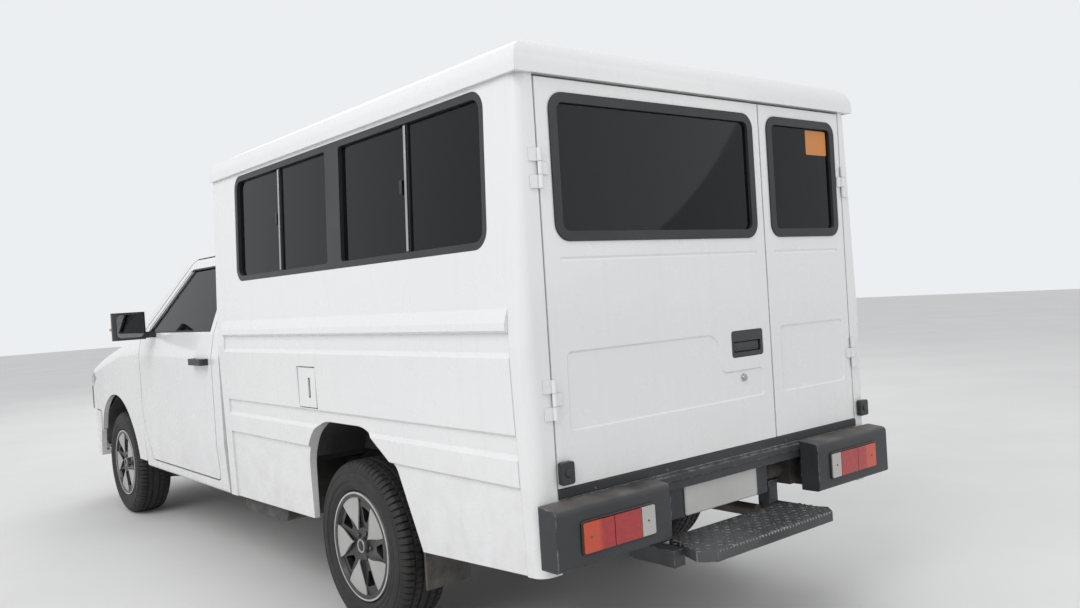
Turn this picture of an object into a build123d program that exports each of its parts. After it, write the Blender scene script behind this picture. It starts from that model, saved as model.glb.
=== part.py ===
"""Single-cab pickup truck with a boxed passenger body on its ladder frame.

Millimetres. While it is drawn, X runs forward from the rear axle, Y to the vehicle's left and
Z up from the ground. Every piece is moved along X at the end, so that the finished vehicle's
origin is on the ground at the middle of its length.
"""
import os
from math import atan2, cos, degrees, hypot, pi, radians, sin, tan

from build123d import *

# Stance and wheels
wheelbase = 3085.0
tyre_radius = 327.0
tyre_half_width = 104.0
tyre_centre_y = 737.0
rim_lip_radius = 208.0
rim_barrel_radius = 190.0
rim_half_width = 96.0
rim_flange = 12.0
wheel_hub_radius = 62.0
hub_inner_y = 12.0
petal_count = 5
petal_low_y = 66.0
petal_high_y = 90.0
centre_cap_radius = 33.0
spindle_radius = 30.0
brake_disc_radius = 100.0
brake_disc_thickness = 18.0
running_gap = 0.3
moving_gap = 8.0
seat_gap = 0.3
steer_limit = 32.0
kingpin_y = 722.0

# Boxed body
box_rear_x = -1120.0
box_front_x = 1204.0
box_wall = 40.0
side_wall_thickness = 34.6
belt_half = 878.6
belt_z = 1100.0
eave_half = 848.5
eave_z = 1885.0
skirt_half = 860.6
box_inner_half = skirt_half - side_wall_thickness
skirt_z = 439.0
box_bottom_front_z = 373.0
box_bottom_rear_z = 434.0
pillar_rear_x = -1050.0
pillar_front_x = 1130.0
corner_radius = 40.0
floor_top_z = 681.0
floor_thickness = 40.0

# Rear doors
door_half = skirt_half - 73.6
rear_split_y = -272.0
rear_door_bottom_z = 681.0
rear_door_top_z = 1879.0
rear_door_thickness = 34.0
rear_door_gap = 6.0
pressing_depth = 3.5

# Roof cap of the box
roof_half = eave_half + 13.5
roof_top_z = 1985.0
roof_skin = 32.0
panel_head_z = roof_top_z - 60.0
roof_edge_radius = 74.0
roof_overhang = 16.0
roof_crown = 10.0
roof_rib_height = 11.0
roof_rib_margin = 70.0
roof_rib_width = 46.0
roof_rib_pitch = 122.0
roof_rib_count = 13

# Side windows of the box
window_front_x = 945.0
window_rear_x = -965.0
window_sill_z = 1393.0
window_head_z = 1872.0
window_corner = 62.0
window_frame = 24.0
window_post = 104.0
window_mullion = 12.0
glass_thickness = 5.0

# Wheel arch of the box
arch_front_x = 336.0
arch_top_z = 801.0
arch_inner_y = 600.0
liner_thickness = 8.0

# Cab
cab_rear_x = box_front_x + 36.0
cab_half = 868.0
cab_belt_half = 846.0
cab_belt_z = 1150.0
cab_rail_half = 690.0
cab_rail_z = 1565.0
cab_crown_z = 1668.0
cab_sill_z = 365.0
cab_floor_z = 610.0
cab_floor_thickness = 30.0
cab_wall = 45.0
cab_door_wall = 58.0
cab_sill_inner_y = 690.0
screen_base_x = wheelbase - 468.0
screen_base_z = 1140.0
screen_head_x = screen_base_x - 692.0
screen_head_z = 1640.0
cowl_shelf_z = 1092.0
hinge_pillar_half = 812.0
cab_door_rear_x = cab_rear_x + 105.0
cab_door_front_x = screen_base_x - 105.0
cab_door_bottom_z = 425.0
cab_door_frame = 50.0

# Nose
front_arch_radius = 440.0
nose_wall = 30.0
fender_rear_x = cab_door_front_x + 10.0
bonnet_rear_x = screen_base_x + 48.0
bonnet_front_x = wheelbase + 805.0
bonnet_half_rear = 715.0
bonnet_half_front = 640.0
nose_front_x = wheelbase + 990.0
bumper_top_z = 640.0
bumper_bottom_z = 335.0
front_bumper_rear_x = wheelbase + front_arch_radius - 35.0
panel_gap = 5.0

# Frame and running gear
rail_half = 430.0
rail_width = 60.0
rail_height = 110.0
rail_rear_top_z = 590.0
rail_mid_top_z = 520.0
rail_front_top_z = 590.0
axle_tube_radius = 42.0
spring_y = 545.0
spring_width = 64.0

# Rear bumpers, lamps and step
bumper_rear_x = -1200.0
bumper_front_x = -1126.0
bumper_outer_y = 870.0
bumper_inner_y = 400.0
rear_bumper_top_z = 648.0
rear_bumper_bottom_z = 467.0
step_z = 430.0
step_half = 358.0
step_rear_x = -1302.0
step_front_x = -1085.0
step_thickness = 34.0
plate_panel_x = -1075.0
plate_panel_thickness = 30.0
rear_cross_radius = 34.0
rear_cross_x = plate_panel_x + plate_panel_thickness + seat_gap + rear_cross_radius
rear_cross_z = 535.0
plate_screw_y = 105.0
plate_screw_z = 580.0
plate_screw_radius = 3.5

middle_x = (nose_front_x + step_rear_x) / 2
parts = {}


# Drawing helpers
def ring(points, place):
    """A closed face from (a, b) or (a, b, radius) corners; the radius rounds that corner."""
    spans = []
    for i, corner in enumerate(points):
        here = Vector(corner[0], corner[1])
        before = Vector(*points[i - 1][:2])
        after = Vector(*points[(i + 1) % len(points)][:2])
        radius = corner[2] if len(corner) > 2 else 0
        if radius <= 0:
            spans.append((here, None, here))
            continue
        u, v = (before - here).normalized(), (after - here).normalized()
        half_turn = radians(u.get_angle(v)) / 2
        along = radius / tan(half_turn)
        centre = here + (u + v).normalized() * (radius / sin(half_turn))
        middle = centre + (here - centre).normalized() * radius
        spans.append((here + u * along, middle, here + v * along))
    edges = []
    for i, (start, middle, end) in enumerate(spans):
        following = spans[(i + 1) % len(spans)][0]
        if middle is not None:
            edges.append(ThreePointArc(place(start), place(middle), place(end)))
        if (following - end).length > 1e-4:
            edges.append(Line(place(end), place(following)))
    return make_face(edges)


def prism(points, axis, low, high):
    """A solid between two planes across an axis. Points are (y, z), (x, z) or (x, y)."""
    places = {
        "x": lambda p: (low, p.X, p.Y),
        "y": lambda p: (p.X, low, p.Y),
        "z": lambda p: (p.X, p.Y, low),
    }
    ways = {"x": (1, 0, 0), "y": (0, 1, 0), "z": (0, 0, 1)}
    return extrude(ring(points, places[axis]), amount=high - low, dir=ways[axis])


def inset(points, distance):
    """The same outline moved inwards by a distance (outwards when negative)."""
    count = len(points)
    area = sum(
        points[i - 1][0] * points[i][1] - points[i][0] * points[i - 1][1] for i in range(count)
    )
    side = 1 if area > 0 else -1
    lines = []
    for i in range(count):
        ax, ay = points[i][:2]
        bx, by = points[(i + 1) % count][:2]
        length = hypot(bx - ax, by - ay)
        dx, dy = (bx - ax) / length, (by - ay) / length
        lines.append((ax - dy * distance * side, ay + dx * distance * side, dx, dy))
    moved = []
    for i, corner in enumerate(points):
        px, py, ux, uy = lines[i - 1]
        qx, qy, vx, vy = lines[i]
        cross = ux * vy - uy * vx
        along = ((qx - px) * vy - (qy - py) * vx) / cross
        radius = corner[2] if len(corner) > 2 else 0
        turn = cross * side
        radius = max(radius - distance * (1 if turn > 0 else -1), 0) if radius else 0
        moved.append((px + ux * along, py + uy * along, radius))
    return moved


def both_sides(half):
    """A closed outline, symmetric about the second axis, from its positive half."""
    return half + [(-p[0],) + tuple(p[1:]) for p in reversed(half)]


def block(x0, x1, y0, y1, z0, z1):
    """A plain box between two corners."""
    size = Box(x1 - x0, y1 - y0, z1 - z0)
    return Pos((x0 + x1) / 2, (y0 + y1) / 2, (z0 + z1) / 2) * size


def rod(start, end, radius):
    """A round bar between two points."""
    way = Vector(*end) - Vector(*start)
    return Solid.make_cylinder(radius, way.length, Plane(origin=start, z_dir=way))


def turned(profile, centre_x, centre_z):
    """A solid of revolution about a cross axis; profile points are (radius, y)."""
    face = ring(profile, lambda p: (centre_x + p.X, p.Y, centre_z))
    return revolve(face, axis=Axis((centre_x, 0, centre_z), (0, 1, 0)))


def right(piece):
    """The mirror image on the vehicle's right-hand side."""
    return mirror(piece, about=Plane.XZ)


def group(*pieces):
    """Several solids kept in one node."""
    solids = [solid for piece in pieces for solid in piece.solids()]
    return solids[0] if len(solids) == 1 else Compound(children=solids)


def box_half(z):
    """Half the width of the boxed body's skin at a height."""
    if z >= belt_z:
        return belt_half + (eave_half - belt_half) * (z - belt_z) / (eave_z - belt_z)
    return skirt_half + (belt_half - skirt_half) * (z - skirt_z) / (belt_z - skirt_z)


# Wheels
def tyre(centre_x, centre_y):
    """One tyre, its section a rounded crown on two bulging sidewalls."""
    crown = tyre_radius
    bead = rim_barrel_radius + seat_gap
    w = tyre_half_width
    foot = rim_half_width - rim_flange - seat_gap
    lip = rim_lip_radius + 1
    half = [
        (bead, foot), (lip, foot), (lip + 8, w - 9, 6), (lip + 50, w, 50), (crown - 12, w - 12, 18),
        (crown, w - 34, 12),
    ]
    section = half + [(r, -y, *rest) for r, y, *rest in reversed(half)]
    placed = [(r, y + centre_y, *rest) for r, y, *rest in section]
    return turned(placed, centre_x, tyre_radius)


def rim(centre_x, side):
    """A wheel rim drawn on the left and mirrored for the right, with paired curved windows."""
    outer = rim_half_width
    barrel = rim_barrel_radius
    wall = 9.0
    face_y = outer - 16
    section = [
        (barrel, -outer + rim_flange), (rim_lip_radius, -outer + rim_flange),
        (rim_lip_radius, -outer), (barrel - wall, -outer), (barrel - wall - 14, 0),
        (barrel - wall - 10, face_y - 22), (wheel_hub_radius, face_y - 34),
        (wheel_hub_radius, hub_inner_y), (spindle_radius + running_gap, hub_inner_y),
        (spindle_radius + running_gap, face_y - 12), (0, face_y - 12), (0, face_y - 4),
        (wheel_hub_radius - 6, face_y - 4, 8), (barrel - 26, outer - 10), (barrel - 8, outer - 12),
        (barrel - 2, outer), (rim_lip_radius, outer), (rim_lip_radius, outer - rim_flange),
        (barrel, outer - rim_flange),
    ]
    placed = [(r, y + tyre_centre_y, *rest) for r, y, *rest in section]
    body = turned(placed, centre_x, tyre_radius)
    for i in range(petal_count):
        turn = 360 / petal_count * i
        body = body - spoke_window(centre_x, turn + 36) + petal(centre_x, turn)
    cap_y = tyre_centre_y + face_y - 8
    for radius, height in ((centre_cap_radius, 11), (centre_cap_radius - 9, 13)):
        body += rod((centre_x, cap_y, tyre_radius), (centre_x, cap_y + height, tyre_radius), radius)
    return body if side > 0 else right(body)


def on_wheel(centre_x, radius, angle, y=0.0):
    """A point on the wheel face, by its radius and its angle about the axle."""
    a = radians(angle)
    return (centre_x + radius * cos(a), y, tyre_radius + radius * sin(a))


def petal(centre_x, turn):
    """A raised leaf of the wheel face: pointed at the hub, broad and skewed at the rim."""
    y = tyre_centre_y + petal_low_y

    def at(radius, angle):
        return on_wheel(centre_x, radius, turn + angle, y)

    edges = [
        ThreePointArc(at(66, 4), at(118, -20), at(173, -23)),
        ThreePointArc(at(173, -23), at(174.5, -4), at(173, 15)),
        ThreePointArc(at(173, 15), at(124, 7), at(66, 4)),
    ]
    return extrude(make_face(edges), amount=petal_high_y - petal_low_y, dir=(0, 1, 0))


def spoke_window(centre_x, middle):
    """A through window between two leaves, cut along the axle."""
    corners = []
    for radius, angle in ((98, -7), (158, -13), (158, 11), (98, 4)):
        x, _, z = on_wheel(centre_x, radius, middle + angle)
        corners.append((x, z, 7))
    return prism(corners, "y", tyre_centre_y + 20, tyre_centre_y + rim_half_width + 5)


def brake_disc(centre_x):
    """A flat brake disc clamped to the inner end of the rim's hub."""
    inner, seat = tyre_centre_y + hub_inner_y - 7, tyre_centre_y + hub_inner_y - seat_gap
    profile = [
        (spindle_radius + 4, inner), (brake_disc_radius, inner),
        (brake_disc_radius, inner + brake_disc_thickness), (80, inner + brake_disc_thickness),
        (80, seat), (spindle_radius + 4, seat),
    ]
    return turned(profile, centre_x, tyre_radius)


corners = {"fl": (wheelbase, 1), "fr": (wheelbase, -1), "rl": (0.0, 1), "rr": (0.0, -1)}
for corner, (wheel_x, side) in corners.items():
    left_tyre = tyre(wheel_x, tyre_centre_y)
    parts[f"tyre_{corner}"] = left_tyre if side > 0 else right(left_tyre)
    wheel = rim(wheel_x, side)
    if wheel_x > 0:
        disc = brake_disc(wheel_x)
        wheel = group(wheel, disc if side > 0 else right(disc))
    parts[f"rim_{corner}"] = wheel


# Rear axle and springs
def rear_axle():
    """A live axle: tube, round differential case, backing drums and the wheel spindles."""
    hub_z = tyre_radius
    drum_y = tyre_centre_y - 36
    tube = rod((0, -drum_y, hub_z), (0, drum_y, hub_z), axle_tube_radius)
    case = turned(
        [(0, -95), (70, -92, 20), (140, -30, 40), (140, 30, 40), (70, 92, 20), (0, 95)], 0, hub_z
    )
    nose = rod((0, 0, hub_z), (230, 0, hub_z + 20), 55)
    axle = tube + case + nose
    for side in (1, -1):
        axle += rod((0, side * (drum_y - 60), hub_z), (0, side * drum_y, hub_z), 128)
        axle += rod((0, side * drum_y, hub_z), (0, side * (tyre_centre_y + 62), hub_z), spindle_radius)
        axle += block(-60, 60, side * spring_y - 32, side * spring_y + 32, hub_z, spring_seat_z)
    return axle


spring_seat_z = tyre_radius + axle_tube_radius + 8
spring_front_x = 640.0
spring_rear_x = -600.0
spring_eye_z = 470.0
spring_leaf = 9.0


def leaf_spring():
    """A pack of four bowed leaves with rolled eyes and the clamp over the axle seat."""
    centre_y = spring_y
    low, high = centre_y - spring_width / 2, centre_y + spring_width / 2
    pack = None
    reach = (spring_front_x - spring_rear_x) / 2
    middle = (spring_front_x + spring_rear_x) / 2
    rise = spring_eye_z - spring_seat_z
    for i, share in enumerate((0.98, 0.75, 0.52, 0.3)):
        bottom = spring_seat_z + (3 - i) * spring_leaf
        lift = rise * share ** 2 - (3 * spring_leaf) * share ** 2
        half = reach * share
        curve = [
            ThreePointArc((middle - half, low, bottom + lift), (middle, low, bottom),
                          (middle + half, low, bottom + lift)),
            Line((middle + half, low, bottom + lift),
                 (middle + half, low, bottom + lift + spring_leaf)),
            ThreePointArc((middle + half, low, bottom + lift + spring_leaf),
                          (middle, low, bottom + spring_leaf),
                          (middle - half, low, bottom + lift + spring_leaf)),
            Line((middle - half, low, bottom + lift + spring_leaf),
                 (middle - half, low, bottom + lift)),
        ]
        leaf = extrude(make_face(curve), amount=high - low, dir=(0, 1, 0))
        pack = leaf if pack is None else pack + leaf
    for x in (spring_front_x, spring_rear_x):
        eye = rod((x, low, spring_eye_z), (x, high, spring_eye_z), 26)
        pack += eye
    top = spring_seat_z + 4 * spring_leaf
    pack += block(-55, 55, low, high, top - spring_leaf, top + 12)
    return pack


parts["rear_axle"] = rear_axle()
parts["leaf_springs"] = group(leaf_spring(), right(leaf_spring()))


# Ladder frame
cab_mount_xs = (cab_rear_x + 180.0, screen_base_x - 317.0)
tow_eye_x = wheelbase + 665.0
tow_eye_z = 410.0
tow_eye_radius = 15.0


def rail_outline():
    """Side view of one frame rail: kicked up over the rear axle and over the front wheels."""
    top_line = [
        (-1075, rail_rear_top_z), (520, rail_rear_top_z, 120), (860, rail_mid_top_z, 120),
        (wheelbase - 585, rail_mid_top_z, 120), (wheelbase - 325, rail_front_top_z, 120),
        (wheelbase + 475, rail_front_top_z, 120), (wheelbase + 615, rail_front_top_z - 30, 60),
        (wheelbase + 815, rail_front_top_z - 30),
    ]
    bottom_line = [(x, z - rail_height, *rest) for x, z, *rest in reversed(top_line)]
    return top_line + bottom_line


def chassis_frame():
    """Two rails, cross members, spring hangers and the crash beam in one welded frame."""
    half = rail_width / 2
    rail = prism(rail_outline(), "y", rail_half - half, rail_half + half)
    frame = rail + right(rail)
    inner = rail_half - half
    cross_members = (
        # x, z of centre, radius
        (rear_cross_x, rear_cross_z, rear_cross_radius), (-420, 535, 30),
        (420, 535, 30), (1150, 498, 20), (1900, 498, 20), (wheelbase + 695, 505, 34),
    )
    for x, z, radius in cross_members:
        frame += rod((x, -inner, z), (x, inner, z), radius)
    hanger_low = spring_eye_z - 38
    for side in (1, -1):
        for x in (spring_front_x, spring_rear_x):
            near = side * (spring_y - spring_width / 2 - seat_gap)
            face = side * (rail_half + half)
            frame += block(x - 34, x + 34, min(near, face), max(near, face), hanger_low, 560)
        for x in cab_mount_xs:
            near, far = side * (rail_half - half), side * (rail_half + half)
            frame += block(x - 40, x + 40, min(near, far), max(near, far), rail_mid_top_z - 5,
                           cab_floor_z - cab_floor_thickness - seat_gap)
        y0, y1 = sorted((side * (rail_half - 8), side * (rail_half + 8)))
        eye = block(tow_eye_x - 35, tow_eye_x + 35, y0, y1, tow_eye_z - 25, tow_eye_z + 50)
        frame += eye - rod((tow_eye_x, y0 - 1, tow_eye_z), (tow_eye_x, y1 + 1, tow_eye_z),
                           tow_eye_radius)
    frame += block(wheelbase + 795, wheelbase + 825, -620, 620, 440, 580)
    return frame


parts["chassis_frame"] = chassis_frame()

front_suspension_z = {"lower": 205.0, "upper": 452.0}


def suspension_side():
    """Lower and upper arm with a coil-over strut between frame and kingpin."""
    inner = rail_half + rail_width / 2
    low_z, high_z = front_suspension_z["lower"], front_suspension_z["upper"]

    def wishbone(half_width, root_y, low, high):
        """A flat arm: wide at the frame, with a slim neck that stays inside the wheel."""
        neck, end_y = 26, kingpin_y + 16
        half = [(half_width, root_y), (neck, kingpin_y - 150, 60), (neck, end_y, 18)]
        points = [(wheelbase + a, y, *rest) for a, y, *rest in both_sides(half)]
        return prism(points, "z", low, high)

    arm = wishbone(120, 446, low_z - 14, low_z + 14)
    upper = wishbone(90, inner + seat_gap, high_z - 10, high_z + 10)
    post = block(wheelbase - 115, wheelbase - 75, 430, inner - 1, low_z, 480 - seat_gap)
    post += block(wheelbase + 75, wheelbase + 115, 430, inner - 1, low_z, 480 - seat_gap)
    strut = rod((wheelbase, 560, low_z), (wheelbase, 520, 610), 30)
    tower = block(wheelbase - 55, wheelbase + 55, inner + seat_gap, 575, 575, 600)
    bores = rod((wheelbase, kingpin_y, low_z - 40), (wheelbase, kingpin_y, high_z + 40),
                kingpin_radius + running_gap)
    return (arm + post + strut + tower + upper) - bores


kingpin_radius = 12.0


def knuckle():
    """Steering knuckle: upright, kingpin ends, spindle and a steering arm."""
    low_z, high_z = front_suspension_z["lower"], front_suspension_z["upper"]
    y = kingpin_y
    clear = 3.0
    upright = block(wheelbase - 26, wheelbase + 26, y - 24, y + 14, low_z + 14 + clear,
                    high_z - 10 - clear)
    pin = rod((wheelbase, y, low_z - 18), (wheelbase, y, high_z + 14), kingpin_radius)
    carrier = rod((wheelbase, y - 24, tyre_radius), (wheelbase, y - 20, tyre_radius), 60)
    spindle = rod((wheelbase, y, tyre_radius), (wheelbase, tyre_centre_y + 62, tyre_radius),
                  spindle_radius)
    arm = block(wheelbase - 150, wheelbase - 20, y - 40, y - 16, 260, 284)
    return upright + pin + carrier + spindle + arm


parts["front_suspension"] = group(suspension_side(), right(suspension_side()))
parts["knuckle_left"] = knuckle()
parts["knuckle_right"] = right(knuckle())

# Engine, driveline, exhaust and tank
gearbox_rear_x = wheelbase - 835.0
engine_rear_x = wheelbase - 405.0
engine_front_x = wheelbase + 435.0
parts["engine_block"] = prism(
    [(gearbox_rear_x, 400), (engine_rear_x + 80, 370), (engine_front_x, 370),
     (engine_front_x, 900, 40), (engine_rear_x + 60, 930, 60), (engine_rear_x, 560, 40),
     (gearbox_rear_x, 540, 30)],
    "y", -210, 210,
)
shaft_start, shaft_end = (gearbox_rear_x - 2, 0, 440), (230, 0, tyre_radius + 20)
drive = rod(shaft_start, shaft_end, 36)
parts["drive_shaft"] = drive - rod((0, 0, tyre_radius), (230, 0, tyre_radius + 20), 60)


def exhaust():
    """Pipe from the engine to a muffler and a tail pipe over the axle."""
    y = -300.0
    route = [(engine_rear_x + 20, y, 420), (1500, y, 375), (700, y, 375), (250, y, 425), (-250, y, 425),
             (-520, y, 390), (-1000, y, 390)]
    path = FilletPolyline(*route, radius=200)
    profile = Plane(origin=path @ 0, z_dir=path % 0) * Circle(24)
    pipe = sweep(profile, path=path)
    flange = block(engine_rear_x, engine_rear_x + 30, y - 20, -210 - seat_gap, 400, 440)
    return pipe + flange + rod((1250, y, 375), (820, y, 375), 85)


parts["exhaust"] = exhaust()
tank = prism(
    [(700, 300, 50), (1190, 300, 50), (1190, rail_rear_top_z, 30), (700, rail_rear_top_z, 30)],
    "y", 500, box_inner_half - 26,
)


# Boxed body: side walls
def side_section(swaged):
    """Cross section of the left wall; the middle stretch has three pressed channels."""
    outline = [(box_inner_half, skirt_z - 80), (box_inner_half, belt_z),
               (eave_half - box_wall, panel_head_z), (eave_half, panel_head_z),
               (eave_half, eave_z)]
    if swaged:
        # z, outward step from the skin's plane
        table = (
            (1215, 0), (1173, 13), (1150, 13), (1141, -7), (1085, -7), (1068, 3),
            (845, 3), (838, -8), (784, -8), (768, 3), (691, 3), (684, -9),
        )
        outline += [(box_half(z) + step, z) for z, step in table]
        outline += [(box_half(skirt_z - 80) - 9, skirt_z - 80)]
    else:
        outline += [(belt_half, belt_z), (box_half(skirt_z - 80), skirt_z - 80)]
    return outline


arch_points = [
    (arch_front_x, 250), (arch_front_x, arch_top_z, 210), (-150, arch_top_z, 190),
    (-352, 672, 60), (-545, 250),
]
side_lean = atan2(belt_half - eave_half, eave_z - belt_z)


def lean_prism(points, outer, inner, side_z=belt_z):
    """A solid through the leaning wall; points are (x, z), depths are from the skin's plane."""
    base_y = box_half(side_z)
    normal = Vector(0, cos(side_lean), sin(side_lean))
    up = Vector(0, -sin(side_lean), cos(side_lean))

    def place(p):
        rise = (p.Y - side_z) / cos(side_lean)
        return Vector(p.X, base_y, side_z) + up * rise - normal * inner

    return extrude(ring(points, place), amount=inner - outer, dir=normal)


window_points = [
    (window_rear_x, window_sill_z, window_corner), (window_front_x, window_sill_z, window_corner),
    (window_front_x, window_head_z, window_corner), (window_rear_x, window_head_z, window_corner),
]
fuel_door = {"x0": 198.0, "x1": 350.0, "z0": 853.0, "z1": 1013.0}
fuel_gap = 4.0
fuel_cap_y = box_inner_half + 4.0
fuel_pin_x = fuel_door["x1"] - 3.0


def side_wall(with_fuel_pocket):
    """One wall with its pillars, window hole, wheel arch and sloping lower edge."""
    middle = prism(side_section(True), "x", pillar_rear_x, pillar_front_x)
    rear_post = prism(side_section(False), "x", box_rear_x, pillar_rear_x)
    rear_post += prism(
        [(door_half, skirt_z - 80), (eave_half - 5, skirt_z - 80), (eave_half - 5, panel_head_z),
         (door_half, panel_head_z)], "x", box_rear_x, pillar_rear_x)
    rear_edges = [
        edge for edge in rear_post.edges()
        if abs(edge.center().X - box_rear_x) < 1 and edge.center().Y > eave_half - 1
        and edge.length > 100
    ]
    rear_post = fillet(rear_edges, corner_radius)
    front_post = prism(side_section(False), "x", pillar_front_x, box_front_x)
    wall = middle + rear_post + front_post
    below = [(box_rear_x - 10, 200), (box_front_x + 10, 200),
             (box_front_x + 10, box_bottom_front_z), (arch_front_x, box_bottom_front_z + 14),
             (-480, 396), (box_rear_x - 10, box_bottom_rear_z)]
    wall -= prism(below, "y", 700, 950)
    wall -= prism(arch_points, "y", 700, 950)
    wall -= lean_prism(window_points, -30, 90)
    if with_fuel_pocket:
        wall -= block(fuel_door["x0"] - fuel_gap, fuel_door["x1"] + fuel_gap + 2, 852, 900,
                      fuel_door["z0"] - fuel_gap, fuel_door["z1"] + fuel_gap)
        wall -= rod((fuel_pin_x, fuel_pin_y, fuel_door["z0"] - 12),
                    (fuel_pin_x, fuel_pin_y, fuel_door["z1"] + 12), 2 + running_gap)
        wall -= rod((270, fuel_cap_y, 933), (270, 860, 933), 34)
    return wall


fuel_pin_y = box_half(933) - 1.0
parts["body_side_left"] = side_wall(True)
parts["body_side_right"] = right(side_wall(False))


def fuel_flap():
    """Square flap with a finger slot, turning on stub pins at its front edge."""
    skin = box_half(933) + 3
    flap = block(fuel_door["x0"], fuel_door["x1"] - 3, skin - 5, skin, fuel_door["z0"],
                 fuel_door["z1"])
    flap += rod((fuel_pin_x, fuel_pin_y, fuel_door["z0"]),
                (fuel_pin_x, fuel_pin_y, fuel_door["z1"]), 4)
    flap += rod((fuel_pin_x, fuel_pin_y, fuel_door["z0"] - 10),
                (fuel_pin_x, fuel_pin_y, fuel_door["z1"] + 10), 2)
    slot = prism([(246, 893, 6), (259, 893, 6), (259, 971, 6), (246, 971, 6)], "y",
                 skin - 2, skin + 2)
    return flap - slot


parts["fuel_flap"] = fuel_flap()
fuel_cap = rod((270, fuel_cap_y + seat_gap, 933), (270, 866, 933), 34 - seat_gap)
parts["fuel_tank"] = group(tank, fuel_cap)


# Boxed body: roof, front wall, floor
def roof_rib(y):
    """One raised rib along the roof, with sloping sides and ends."""
    base = roof_top_z + roof_crown * (1 - abs(y) / roof_half)
    foot, w, h = base - 12, roof_rib_width / 2, roof_rib_height
    across = prism([(y - w, foot), (y - w, base), (y - w + 8, base + h), (y + w - 8, base + h),
                    (y + w, base), (y + w, foot)], "x", box_rear_x, box_front_x)
    rear, front = box_rear_x + roof_rib_margin, box_front_x - roof_rib_margin
    along = prism([(rear, foot), (rear, base), (rear + 22, base + h), (front - 22, base + h),
                   (front, base), (front, foot)], "y", y - w - 1, y + w + 1)
    return across & along


def body_roof():
    """Roof cap: the section cut to a rounded side profile, with long ribs, hollow below."""
    rear, front = box_rear_x - roof_overhang, box_front_x + 6
    half = [(roof_half, eave_z), (roof_half, roof_top_z, roof_edge_radius)]
    section = half + [(0, roof_top_z + roof_crown)]
    section += [(-y, z, *rest) for y, z, *rest in reversed(half)]
    top_z = roof_top_z + roof_crown + 1
    profile = [(rear, eave_z), (rear, top_z, 80), (front, top_z, 80), (front, eave_z)]
    cap = prism(section, "x", rear, front) & prism(profile, "y", -900, 900)
    span = roof_rib_pitch * (roof_rib_count - 1) / 2
    for i in range(roof_rib_count):
        cap += roof_rib(span - i * roof_rib_pitch)
    skirt = eave_half + seat_gap
    cap -= block(box_rear_x, box_front_x, -skirt, skirt, eave_z - 5, panel_head_z)
    cap -= block(box_rear_x + 40, box_front_x - 40, -eave_half + 58, eave_half - 58, eave_z - 5,
                 roof_top_z - roof_skin)
    return cap


parts["body_roof"] = body_roof()


def body_front_wall():
    """Flat front wall of the box between the side walls."""
    half = box_inner_half - seat_gap
    outline = both_sides([(half, floor_top_z - floor_thickness), (half, belt_z),
                          (eave_half - box_wall - seat_gap, panel_head_z)])
    return prism(outline, "x", box_front_x - box_wall, box_front_x)


parts["body_front_wall"] = body_front_wall()


def rear_frame():
    """Header over the rear doors and the sill beam under them."""
    header = block(box_rear_x, box_rear_x + 60, -door_half + seat_gap, door_half - seat_gap,
                   rear_door_top_z + rear_door_gap, panel_head_z)
    sill = block(box_rear_x, box_rear_x + 45, -door_half + seat_gap, door_half - seat_gap,
                 rail_rear_top_z + seat_gap, rear_door_bottom_z - rear_door_gap)
    return header, sill


parts["rear_frame"] = group(*rear_frame())


bearer_xs = (-980, -620, 520, 860, 1120)


def body_floor():
    """Flat load floor on its cross bearers, with notches over the wheel houses."""
    half = box_inner_half - seat_gap
    floor = block(box_rear_x + 45 + seat_gap, box_front_x - box_wall - seat_gap, -half, half,
                  floor_top_z - floor_thickness, floor_top_z)
    for side in (1, -1):
        low, high = sorted((side * (arch_inner_y - liner_thickness - seat_gap), side * 900))
        floor -= prism(inset(arch_points, -liner_thickness - seat_gap), "y", low, high)
        low, high = sorted((side * (door_half - seat_gap), side * 900))
        floor -= block(box_rear_x, pillar_rear_x + seat_gap, low, high, 600, 700)
    for x in bearer_xs:
        floor += block(x - 30, x + 30, -780, 780, rail_rear_top_z + seat_gap,
                       floor_top_z - floor_thickness)
    return floor


parts["body_floor"] = body_floor()


def wheel_house():
    """Rear wheel house: an arch-shaped shell with a closed inner side."""
    outer = [(x, z, *rest) for x, z, *rest in inset(arch_points, -liner_thickness)]
    edge = box_inner_half - seat_gap
    shell = prism(outer, "y", arch_inner_y - liner_thickness, edge)
    shell -= prism(arch_points, "y", arch_inner_y, edge + 1)
    shell -= block(-700, 500, 560, 900, 200, floor_top_z - floor_thickness)
    flap_z = floor_top_z - floor_thickness
    return shell + block(-412, -400, 612, 800, 236, flap_z)


bench_inner_y = 480.0
bench_front_x = 1140.0
bench_rear_x = -1040.0
bench_seat_z = 930.0
bench_cushion = 80.0


def side_bench():
    """Left side bench: a padded plank on two end boards, over the wheel house."""
    wall_y = box_inner_half - seat_gap
    plank_z = bench_seat_z - bench_cushion
    bench = block(bench_rear_x, bench_front_x, bench_inner_y, wall_y, plank_z - 30, bench_seat_z)
    for x in (bench_rear_x + 40, bench_front_x - 40):
        bench += block(x - 15, x + 15, bench_inner_y + 20, wall_y, floor_top_z + seat_gap, plank_z)
    return bench


parts["side_benches"] = group(side_bench(), right(side_bench()))


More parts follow.
